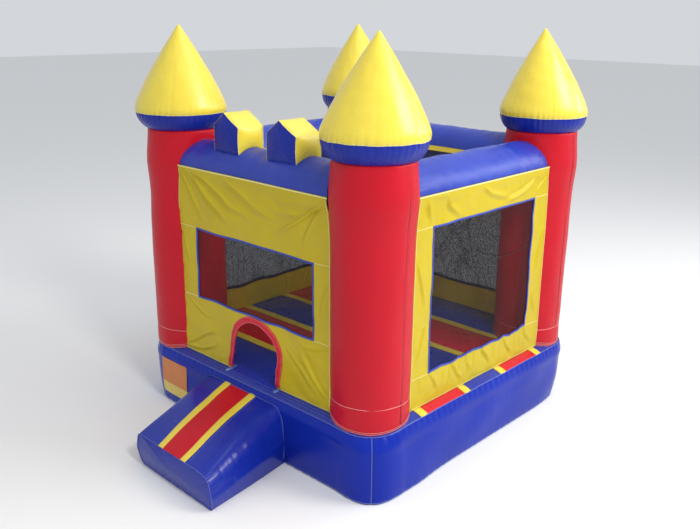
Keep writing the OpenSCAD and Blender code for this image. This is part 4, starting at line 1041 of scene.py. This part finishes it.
Y0, Y1 = -1.325, -1.057
cov, fac, bs = Acc(), Acc(), Acc()
for bi, (xc, hl, hr, rx) in enumerate(((-0.371, 0.154, 0.172, -0.014), (0.333, 0.182, 0.168, -0.030))):
    ns_, nt_ = 97, 33
    ys = np.linspace(Y0, Y1, nt_)
    rows, rims = [], []
    for y in ys:
        s, x, z, nx, nz, loc = block_outline(y, ns_, hl, hr, rx)
        t = 2 * (y - Y0) / (Y1 - Y0) - 1
        puff = np.sin(PI * loc) ** 0.7 * (1 - abs(t) ** 2.6)
        b = 0.021 * puff - 0.0035 * np.sin(PI * loc) * math.exp(-(1 - abs(t)) / 0.22) - 0.002 * (1 - t * t) * np.exp(-(np.abs((s - 0.5) * 1.0) / 0.03) ** 2)
        b = b - 0.003 * (1 - t * t) * (np.exp(-((s - 0.32) / 0.03) ** 2) + np.exp(-((s - 0.68) / 0.03) ** 2))
        b = b + 0.0035 * (pleat(s, 26, 520 + bi) - 0.5) * math.exp(-(1 - abs(t)) / 0.16) - 0.004 * math.exp(-(1 - abs(t)) / 0.08)
        sag = 0.002 * np.exp(-((s - 0.5) / 0.05) ** 2) * (1 - t * t)
        rows.append(np.stack([xc + x + nx * b, np.full_like(x, y) + 0.004 * t * np.sin(PI * loc), z + nz * b - sag], -1))
    P = np.stack(rows, 1)
    cen = np.array([xc, (Y0 + Y1) / 2, 2.66])
    cov.grid(P, uv=(np.linspace(0, 1.0, ns_)[:, None], ys[None, :]), out=lambda c, cen=cen: c - cen)
    for e, (jj, sg) in enumerate(((0, -1), (nt_ - 1, 1))):
        rim = P[:, jj]
        # close the rim along the foot
        foot = np.linspace(rim[-1], rim[0], 25)[1:-1]
        foot[:, 2] = BZ + np.sqrt(BR ** 2 - (foot[:, 1] + TA) ** 2) - 0.004
        ring = np.concatenate([rim, foot, rim[:1]])
        c0 = np.array([xc, rim[:, 1].mean(), 2.655])
        rr = np.linspace(0.02, 1, 22)
        tt = np.linspace(0, 1, len(ring))
        G = c0 + (ring - c0)[:, None] * rr[None, :, None]
        G[..., 1] += sg * (0.026 * (1 - rr ** 2.4)[None, :] + 0.005 * ((pleat(tt, 30, 530 + 2 * bi + e) - 0.5)[:, None] * np.exp(-(1 - rr) / 0.10)[None, :]))
        fac.grid(G, uv=(tt[:, None], rr[None, :] * 0.17), wrap_u=True, out=lambda c, sg=sg: np.array([0, sg * 1.0, 0]))
        rn = rim - np.array([xc, rim[0, 1], 2.66])
        rn[:, 1] += sg * 0.05
        ribbon(bs, rim, rn, 0.006, rise=0.001)
cov = cov.build("block_wraps", M["yellow_cap"], slot="vinyl_yellow", thick=0.0015, replaces=("block_covers",))
fac = fac.build("block_ends", M["blue"], slot="vinyl_blue", thick=0.0015, replaces=("block_faces",))
bs.build("block_seams", M["seam_yellow"], slot="vinyl_yellow", thick=0.0008, offset=1.0)


# ---------------------------------------------------------------- step
S_Y = 0.842


def step_frame(t):
    """Left and right edge and height of the step's section; t is 0 at the base and 1 at the front."""
    left = -0.528 + (-0.372 + 0.528) * t - 0.004 * np.sin(PI * t)
    right = 0.542 + (0.668 - 0.542) * t + 0.006 * np.sin(PI * t)
    hz = 0.512 + (0.277 - 0.512) * t + 0.014 * np.sin(PI * np.clip(t, 0, 1)) ** 0.8
    return left, right, hz


def step_y(x, t):
    """Depth of section t; the front is a little askew, so its right corner stands further out."""
    return -1.5235 - S_Y * t * 0.985 - t * np.interp(x, [-0.37, 0.67], [0.008, 0.032])


def step_power(t):
    """How square the left and the right shoulder are."""
    return 18 + 60 * np.exp(-(1 - t) / 0.20), 6.8 + 5.5 * np.exp(-(1 - t) / 0.12) + 9.0 * np.exp(-t / 0.12)


def step_shape(s, t):
    """Height over the section's height at s, which runs from -1 at the left edge to 1 at the right one."""
    pl_, pr_ = step_power(t)
    pw = np.where(s < 0, pl_, pr_)
    return (1 - np.clip(np.abs(s), 0, 1) ** pw) ** (1 / 2.3)


def step_top(x, t):
    """Height of the step's top at x, for section t."""
    left, right, hz = step_frame(t)
    s = np.clip((x - (left + right) / 2) / ((right - left) / 2), -1, 1)
    crown = 0.010 * np.cos(PI * s / 2) * np.sin(PI * np.clip(t, 0, 1))
    return hz * step_shape(s, t) + (0.0025 * field(x, t * S_Y, 600, 0.3) + crown) * (1 - s ** 4)


tn = np.concatenate([np.linspace(0, 0.10, 8)[:-1], np.linspace(0.10, 0.88, 44)[:-1], np.linspace(0.88, 1, 16)])
base_s = 1 - (1 - np.linspace(0, 1, 60)) ** 2.6
rows = []
for t in tn:
    left, right, hz = step_frame(t)
    # the section is walked with points gathered on its shoulders
    s = np.concatenate([-base_s[::-1], base_s[1:]])[::-1]
    up = step_shape(s, t) * hz
    # upright flanks below the shoulders
    fl = np.linspace(0, 1, 26)
    pl_, pr_ = step_power(t)
    X = (left + right) / 2 + s * (right - left) / 2
    Z = step_top(X, t)
    k_ = (Z > 0.52 * hz)
    Xm, Zm = X[k_], Z[k_]

    def flank(xs, zs, edge, sg):
        zf_ = zs * (1 - fl)
        q = zf_ / hz
        w_ = np.clip((zs - zf_) / max(zs, 1e-6), 0, 1)
        bulge = (0.014 if sg > 0 else 0.006) * np.sin(PI * np.clip(q, 0, 1)) * min(1.0, 6 * t + 0.1)
        tuck = (0.016 + 0.010 * t if sg > 0 else 0.012 + 0.052 * t) * (1 - q) ** 2
        return xs + (edge - xs) * smooth(0, 0.35, w_) + sg * (bulge - tuck) * smooth(0, 0.3, w_), zf_

    xr, zr = flank(Xm[0], Zm[0], right, 1)
    xl, zl = flank(Xm[-1], Zm[-1], left, -1)
    X = np.concatenate([xr[::-1][:-1], Xm, xl[1:]])
    Z = np.concatenate([zr[::-1][:-1], Zm, zl[1:]])
    # even spacing along the section
    L = np.concatenate([[0], np.cumsum(np.hypot(np.diff(X), np.diff(Z)))])
    g = np.linspace(0, L[-1], 260)
    X, Z = np.interp(g, L, X), np.interp(g, L, Z)
    arc = g / L[-1]
    puck = 0.005 * (pleat(arc, 64, 610) - 0.5) * math.exp(-(1 - t) / 0.05) + 0.004 * (pleat(arc, 56, 611) - 0.5) * math.exp(-t / 0.04)
    cx, cz = (left + right) / 2, hz * 0.5
    nx, nz = np.gradient(Z), -np.gradient(X)
    nl = np.hypot(nx, nz) + 1e-9
    X, Z = X + nx / nl * puck, Z + nz / nl * puck
    # crinkles along the right shoulder
    sh = np.exp(-((X - right + 0.05) / 0.05) ** 2) * np.exp(-((Z - hz * 0.86) / 0.07) ** 2)
    Z = Z + 0.0026 * sh * np.sin(t * 78 + 3 * np.sin(t * 17))
    Y = step_y(X, t) - 0.012 * smooth(0.8, 1, t) * np.sin(PI * np.clip(Z / hz, 0, 1))
    rows.append(np.stack([X, Y, np.maximum(Z, 0.004)], -1))
P = np.stack(rows, 1)
body = Acc()
U = np.linspace(0, 1.9, P.shape[0])
body.grid(P, uv=(U[:, None], tn[None, :] * S_Y), out=lambda c: c - np.array([0.08, -1.95, 0.1]))
# front face, puffed out between its seams
rim = P[:, -1]
ex = np.linspace(rim[-1], rim[0], 41)[1:-1]
ring = np.concatenate([rim, ex, rim[:1]])
c0 = np.array([0.16, rim[:, 1].mean(), 0.140])
rr = np.linspace(0.0, 1, 34)
rr[0] = 0.01
G = c0 + (ring - c0)[:, None] * rr[None, :, None]
tt = np.linspace(0, 1, len(ring))
G[..., 1] -= 0.026 * (1 - rr ** 2)[None, :] * (0.4 + 0.6 * smooth(0, 0.17, G[..., 2])) + 0.005 * ((pleat(tt, 60, 620) - 0.5)[:, None] * np.exp(-(1 - rr) / 0.14)[None, :])
body.grid(G, uv=(tt[:, None] * 2.4, rr[None, :] * 0.3), wrap_u=True, out=lambda c: np.array([0, -1.0, 0]))
# underside
w_ = np.linspace(0, 1, 12)[:, None, None]
Bt = P[0][None] * (1 - w_) + P[-1][None] * w_
body.grid(Bt, out=lambda c: np.array([0, 0, -1.0]))
step = body.build("step_cushion", M["blue_step"], slot="vinyl_blue", thick=0.002, replaces=("step_body",))


def step_stripe(acc, a0, a1, b0, b1, lift, n=12):
    t = np.linspace(0.002, 1.0, 90)
    s = np.linspace(0, 1, n)
    X = (a0 + (a1 - a0) * t)[:, None] * (1 - s)[None, :] + (b0 + (b1 - b0) * t)[:, None] * s[None, :]
    T = t[:, None] * np.ones_like(X)
    Z = step_top(X, T) + lift * (0.4 + 0.6 * np.sin(PI * s) ** 0.5)[None, :]
    Z = np.maximum(Z, 0.02)
    Y = step_y(X, T) - 0.003 * smooth(0.9, 1, T)
    acc.grid(np.stack([X, Y, Z], -1), uv=(X, Y), out=lambda c: np.array([0, 0, 1.0]))


a = Acc(); step_stripe(a, -0.158, 0.000, 0.104, 0.252, 0.0032, 20)
o = a.build("step_stripe_middle", M["red"], slot="vinyl_red", thick=0.0012, offset=1.0, replaces=("step_stripe_red",))
a = Acc(); step_stripe(a, -0.232, -0.062, -0.152, 0.004, 0.0052); step_stripe(a, 0.100, 0.250, 0.182, 0.315, 0.0052)
o = a.build("step_stripe_edges", M["floor_yellow"], slot="vinyl_yellow", thick=0.0012, offset=1.0, replaces=("step_stripe_yellow",))

ss = Acc()
m_ = np.arange(6, 254)
rimn = rim - np.array([0.16, 0, 0.1]); rimn[:, 1] = -0.1
ribbon(ss, rim[m_], rimn[m_] * np.array([1, 0.6, 1]), 0.006, rise=0.0008)
r0 = P[:, 0].copy(); r0[:, 1] -= 0.010
rn = r0 - np.array([0.01, 0, 0.2]); rn[:, 1] = 0
ribbon(ss, r0[m_], rn[m_], 0.009, rise=0.0020)
t = np.linspace(0.02, 0.96, 60)
x = 0.196 + (0.342 - 0.196) * t
ribbon(ss, np.stack([x, step_y(x, t), step_top(x, t)], -1), np.array([0, 0, 1.0]), 0.004, rise=0.0006)
ss.build("step_seams", M["seam_blue"], slot="vinyl_blue", thick=0.0008, offset=1.0)


# ---------------------------------------------------------------- plain patch on the base
def skirt_patch(name, x0, x1, z0, z1, mat, slot, node, seed):
    h, r = SEAM_H, SEAM_R
    arc = r * PI / 4
    side_len = 2 * (h - r) + 2 * arc
    xs, zs = np.linspace(x0, x1, 60), np.linspace(z0, z1, 40)
    u = (arc + (xs + (h - r))) / side_len
    U, Z = np.meshgrid(u, zs, indexing="ij")
    P0_, N_ = side_point(U, (Z - 0.004) / 0.574)
    P_ = P0_.copy()
    P_[..., 2] = Z
    lift = 0.0022 + 0.0016 * (1 + field(xs[:, None] * np.ones_like(Z), Z, seed, 0.12)) * 0.5
    P_ = P_ + N_ * lift[..., None] if np.ndim(lift) else P_ + N_ * lift
    return Acc().grid(P_, uv=(xs[:, None], zs[None, :]), out=lambda c: np.array([0, -1.0, 0])).build(name, mat, slot=slot, thick=0.0012, offset=1.0, replaces=(node,))


o = skirt_patch("panel_upper", -1.215, -0.812, 0.212, 0.462, M["patch_o"], "patch_orange", "patch_upper", 630)
o = skirt_patch("panel_lower", -1.215, -0.812, 0.100, 0.214, M["patch_y"], "patch_yellow", "patch_lower", 631)


# ---------------------------------------------------------------- inflation sleeve
th, yy = np.linspace(0, 2 * PI, 97), np.concatenate([np.linspace(1.518, 1.60, 12)[:-1], np.linspace(1.60, 1.975, 42)])
tt = th / (2 * PI)
strapd = np.exp(-((yy - 1.875) / 0.022) ** 2)[None, :]
R = 0.1415 + 0.004 * (pleat(tt, 24, 640) - 0.5)[:, None] * (strapd + 1.2 * np.exp(-(yy - 1.52) / 0.03)[None, :]) + 0.0012 * field(th[:, None] * 0.14, yy[None, :], 641, 0.1)
R = R + 0.0022 * np.sin(yy[None, :] * 60 + 3 * np.sin(th)[:, None])
P = np.stack([0.76 + R * np.cos(th)[:, None], yy[None, :] * np.ones_like(R), 0.19 + R * np.sin(th)[:, None]], -1)
P[-1] = P[0]
o = Acc().grid(P, uv=(th[:, None] * 0.14, yy[None, :]), wrap_u=True, out=lambda c: c * [1, 0, 1] - [0.76, 0, 0.19]).build(
    "blower_sleeve_skin", M["blue"], slot="vinyl_blue", thick=0.002, replaces=("inflation_sleeve",))
a = Acc()
ring = np.linspace(0, 2 * PI, 97)[:-1]
rn = np.stack([np.cos(ring), 0 * ring, np.sin(ring)], -1)
ribbon(a, np.array([0.76, 1.875, 0.19]) + rn * 0.1455, rn, 0.038, rise=0.0, closed=True, across=5, crown=0.0006)
tail = np.linspace(0, 1, 30)
ta = 1.1 - tail * 0.2
ribbon(a, np.stack([0.76 + (0.149 + 0.02 * tail) * np.cos(ta) + 0.05 * tail, 1.875 + 0.01 * tail, 0.19 + 0.149 * np.sin(ta) - 0.03 * tail - 0.10 * tail ** 2], -1),
       np.array([0.8, 0, 0.6]), 0.036, rise=0.002, across=5)
a.build("sleeve_tie_strap", M["web"], slot="black_webbing", thick=0.0016, offset=1.0, replaces=("sleeve_strap",))
a = Acc()
for yk in (1.530, 1.962):
    ribbon(a, np.array([0.76, yk, 0.19]) + rn * 0.1425, rn, 0.007, rise=0.0006, closed=True)
a.build("sleeve_seams", M["seam_blue"], slot="vinyl_blue", thick=0.0006, offset=1.0)


# ---------------------------------------------------------------- deflation zip
a = Acc()
x = np.linspace(-0.85, -0.15, 120)
for zc, wd in ((0.3425, 0.021), (0.3175, 0.021)):
    ribbon(a, np.stack([x, np.full_like(x, 1.5255), np.full_like(x, zc)], -1), np.array([0, 1.0, 0]), wd, rise=0.0006, across=5, crown=0.0006)
# the fold that the flap hangs from
sec = [(0.0, 0.375), (0.006, 0.3752), (0.0155, 0.3765), (0.0185, 0.380), (0.0185, 0.384), (0.0155, 0.3875), (0.006, 0.389), (0.0, 0.3892)]
xf = np.linspace(-0.85, -0.24, 90)
P = np.stack([np.stack([xf, 1.525 + d + 0.0006 * np.sin(xf * 90), np.full_like(xf, z_)], -1) for d, z_ in sec], 1)
a.grid(P, out=lambda c: c * [0, 1, 1] - [0, 1.530, 0.382])
a.build("zip_cloth", M["web"], slot="black_webbing", thick=0.0008, offset=1.0, replaces=("zip_tape",))
# teeth: two interlocking rows
pitch = 0.0034
a = Acc()
for i, xt in enumerate(np.arange(-0.838, -0.162, pitch)):
    dz_ = 0.0011 if i % 2 else -0.0011
    w2, h2, y2 = pitch * 0.62, 0.0021, 0.0018
    g = np.array([[[xt - w2, 1.527, 0.330 + dz_ - h2], [xt - w2, 1.527 + y2, 0.330 + dz_ - h2 * 0.7], [xt - w2, 1.527 + y2, 0.330 + dz_ + h2 * 0.7], [xt - w2, 1.527, 0.330 + dz_ + h2]],
                  [[xt + w2, 1.527, 0.330 + dz_ - h2], [xt + w2, 1.527 + y2, 0.330 + dz_ - h2 * 0.7], [xt + w2, 1.527 + y2, 0.330 + dz_ + h2 * 0.7], [xt + w2, 1.527, 0.330 + dz_ + h2]]])
    a.grid(g, out=lambda c, xt=xt: c - [xt, 1.5262, 0.330])
a.build("zip_teeth", M["zip"], slot="black_webbing", shade=False)
# cover flap, which hangs from the fold and lifts
xf, zf = np.linspace(-0.85, -0.24, 100), np.linspace(0.2570, 0.3712, 26)
X, Z = np.meshgrid(xf, zf, indexing="ij")
Yf = 1.5465 + 0.0020 * np.sin(X * 38) * np.clip((0.371 - Z) / 0.1, 0, 1) + 0.003 * field(X, Z, 650, 0.16) * np.clip((0.371 - Z) / 0.1, 0, 1)
flap = Acc().grid(np.stack([X, Yf, Z], -1), uv=(X, Z), out=lambda c: np.array([0, 1.0, 0])).build(
    "zip_cover_flap", M["blue"], body="zip_flap", slot="vinyl_blue", thick=0.0018, offset=0.0, replaces=("zip_flap",))
a = Acc()
for zz in (0.2640, 0.3640):
    ribbon(a, np.stack([xf, np.interp(xf, xf, Yf[:, np.abs(zf - zz).argmin()]) + 0.001, np.full_like(xf, zz)], -1), np.array([0, 1.0, 0]), 0.004, rise=0.0004)
a.build("flap_stitching", M["seam_blue"], body="zip_flap", slot="vinyl_blue", thick=0.0005, offset=1.0)


# ---------------------------------------------------------------- anchors
a, w = Acc(), Acc()
st = Acc()
for (px, py, k) in ((1.100, 1.525, 2), (-1.020, 1.525, 2), (-1.525, 1.020, 3), (-1.525, -1.020, 3)):
    # made for the front wall at x = 0, then turned and moved
    R_ = lambda P: turn(P, k) + np.array([px, py, 0.0])
    nrm = turn(np.array([0, -1.0, 0]), k)
    g = np.linspace(-1, 1, 25)
    GX, GZ = np.meshgrid(g, g, indexing="ij")
    # square with round corners
    f = np.maximum(np.abs(GX), np.abs(GZ)) / np.maximum((np.abs(GX) ** 8 + np.abs(GZ) ** 8) ** (1 / 8), 1e-6)
    X, Z = GX * f * 0.060, 0.215 + GZ * f * 0.060
    rim_ = np.maximum(np.abs(GX), np.abs(GZ))
    Y = -0.0030 - 0.0012 * np.sqrt(np.clip(1 - rim_ ** 6, 0, 1)) + 0.0012 * (rim_ > 0.99) + 0.0006 * field(X, Z, 660 + k, 0.05)
    a.grid(R_(np.stack([X, Y, Z], -1)), uv=(X, Z), out=lambda c, nrm=nrm: nrm)
    # webbing: down the patch, round the ring's bar and back up
    th = np.linspace(-PI * 0.5, PI * 0.97, 26)
    cy, cz, rr_ = -0.010, 0.175, 0.0056
    path = [(-0.0046, 0.262), (-0.0046, 0.24), (-0.0046, 0.21), (-0.0046, 0.19)]
    path += [(cy + rr_ * math.cos(q_), cz + rr_ * math.sin(q_)) for q_ in np.linspace(0.35, -PI * 1.15, 26)]
    path += [(-0.0085, 0.188), (-0.0068, 0.20), (-0.0066, 0.22), (-0.0066, 0.258)]
    path = np.array(path)
    wx_ = np.linspace(-0.021, 0.021, 9)
    P = np.stack([np.stack([wx_, np.full(9, py_), np.full(9, pz_)], -1) for py_, pz_ in path], 0)
    w.grid(R_(P), out=lambda c, nrm=nrm: nrm)
    for zz in (0.200, 0.256):
        xs = np.linspace(-0.018, 0.018, 12)
        ribbon(st, R_(np.stack([xs, np.full(12, -0.0078), np.full(12, zz)], -1)), nrm, 0.0022, rise=0.0004)
    for c1, c2 in (((-0.018, 0.200), (0.018, 0.256)), ((-0.018, 0.256), (0.018, 0.200))):
        xs, zs_ = np.linspace(c1[0], c2[0], 14), np.linspace(c1[1], c2[1], 14)
        ribbon(st, R_(np.stack([xs, np.full(14, -0.0078), zs_], -1)), nrm, 0.0022, rise=0.0004)
    sq = np.linspace(0, 4, 81)
    Q = square(sq, 0.052)
    ribbon(st, R_(np.stack([Q[:-1, 0], np.full(80, -0.0044), 0.215 + Q[:-1, 1]], -1)), nrm, 0.0028, rise=0.0003, closed=True)
a.build("anchor_pads", M["reinf"], slot="reinforcing_vinyl", thick=0.0020, replaces=("anchor_patches",))
w.build("anchor_webbing", M["web"], slot="black_webbing", thick=0.0012, offset=0.0)
st.build("anchor_stitching", M["seam_blue"], slot="reinforcing_vinyl", thick=0.0004, offset=1.0)

seam_r.build("tower_hems", M["seam_red"], slot="vinyl_red", thick=0.0008, offset=1.0)
seam_d.build("tower_upright_seams", M["seam_dark"], slot="vinyl_red", thick=0.0008, offset=1.0)
seam_y.build("curtain_seams", M["seam_yellow"], slot="curtain_yellow", thick=0.0008, offset=1.0)


# ---------------------------------------------------------------- stage, light and camera
def stage_mat(name, col, rough):
    m = bpy.data.materials.new(name)
    m.use_nodes = True
    b = m.node_tree.nodes["Principled BSDF"]
    b.inputs["Base Color"].default_value = (*col, 1)
    b.inputs["Roughness"].default_value = rough
    b.inputs["Specular IOR Level"].default_value = 0.2
    return m


me = bpy.data.meshes.new("floor_plane")
E = 60.0
me.from_pydata([(-E, -E, 0), (E, -E, 0), (E, E, 0), (-E, E, 0)], [], [(0, 1, 2, 3)])
fl = bpy.data.objects.new("floor_plane", me)
me.materials.append(stage_mat("stage", (0.84, 0.84, 0.84), 0.9))
bpy.context.scene.collection.objects.link(fl)

bpy.context.scene.view_settings.view_transform = "Standard"

world = bpy.data.worlds.new("studio")
bpy.context.scene.world = world
world.use_nodes = True
bg = world.node_tree.nodes["Background"]
bg.inputs["Color"].default_value = (0.93, 0.96, 1.0, 1)
bg.inputs["Strength"].default_value = 0.70


def area(name, loc, target, size, power, col=(1, 1, 1)):
    l = bpy.data.lights.new(name, "AREA")
    l.shape, l.size, l.size_y, l.energy, l.color = "RECTANGLE", size[0], size[1], power, col
    o = bpy.data.objects.new(name, l)
    d = (np.array(target) - np.array(loc)).astype(float)
    d /= np.linalg.norm(d)
    z = -d
    x = np.cross([0, 0, 1.0], z); x /= np.linalg.norm(x)
    y = np.cross(z, x)
    o.matrix_world = Matrix([[x[0], y[0], z[0], loc[0]], [x[1], y[1], z[1], loc[1]], [x[2], y[2], z[2], loc[2]], [0, 0, 0, 1]])
    bpy.context.scene.collection.objects.link(o)
    return o


area("key_right", (7.0, 3.0, 7.6), (0, 0, 1.4), (3.6, 3.6), 440, (1.0, 0.98, 0.95))
area("key_front", (6.6, -3.1, 7.4), (0, -1, 1.6), (1.6, 1.6), 300, (1.0, 0.98, 0.94)).visible_glossy = False
area("sky_back", (5.8, 8.2, 5.2), (0.6, 0, 0.8), (3.2, 2.6), 150, (0.93, 0.96, 1.0))
area("top_soft", (1.5, 1.5, 9.0), (0, 0, 1.0), (6, 6), 170)

A_, E_, ROLL = math.radians(43.0434), math.radians(17.1939), math.radians(0.6553)
fwd = np.array([-math.sin(A_) * math.cos(E_), math.cos(A_) * math.cos(E_), -math.sin(E_)])
right = np.cross(fwd, [0, 0, 1.0]); right /= np.linalg.norm(right)
up = np.cross(right, fwd)
r2, u2 = right * math.cos(ROLL) + up * math.sin(ROLL), -right * math.sin(ROLL) + up * math.cos(ROLL)
cam = bpy.data.cameras.new("camera")
cam.sensor_width, cam.lens = 36.0, 815.68 * 36.0 / 700.0
cam.clip_end = 200
co = bpy.data.objects.new("camera", cam)
loc = (5.1048, -5.6333, 3.6730)
co.matrix_world = Matrix([[r2[0], u2[0], -fwd[0], loc[0]], [r2[1], u2[1], -fwd[1], loc[1]], [r2[2], u2[2], -fwd[2], loc[2]], [0, 0, 0, 1]])
bpy.context.scene.collection.objects.link(co)
bpy.context.scene.camera = co
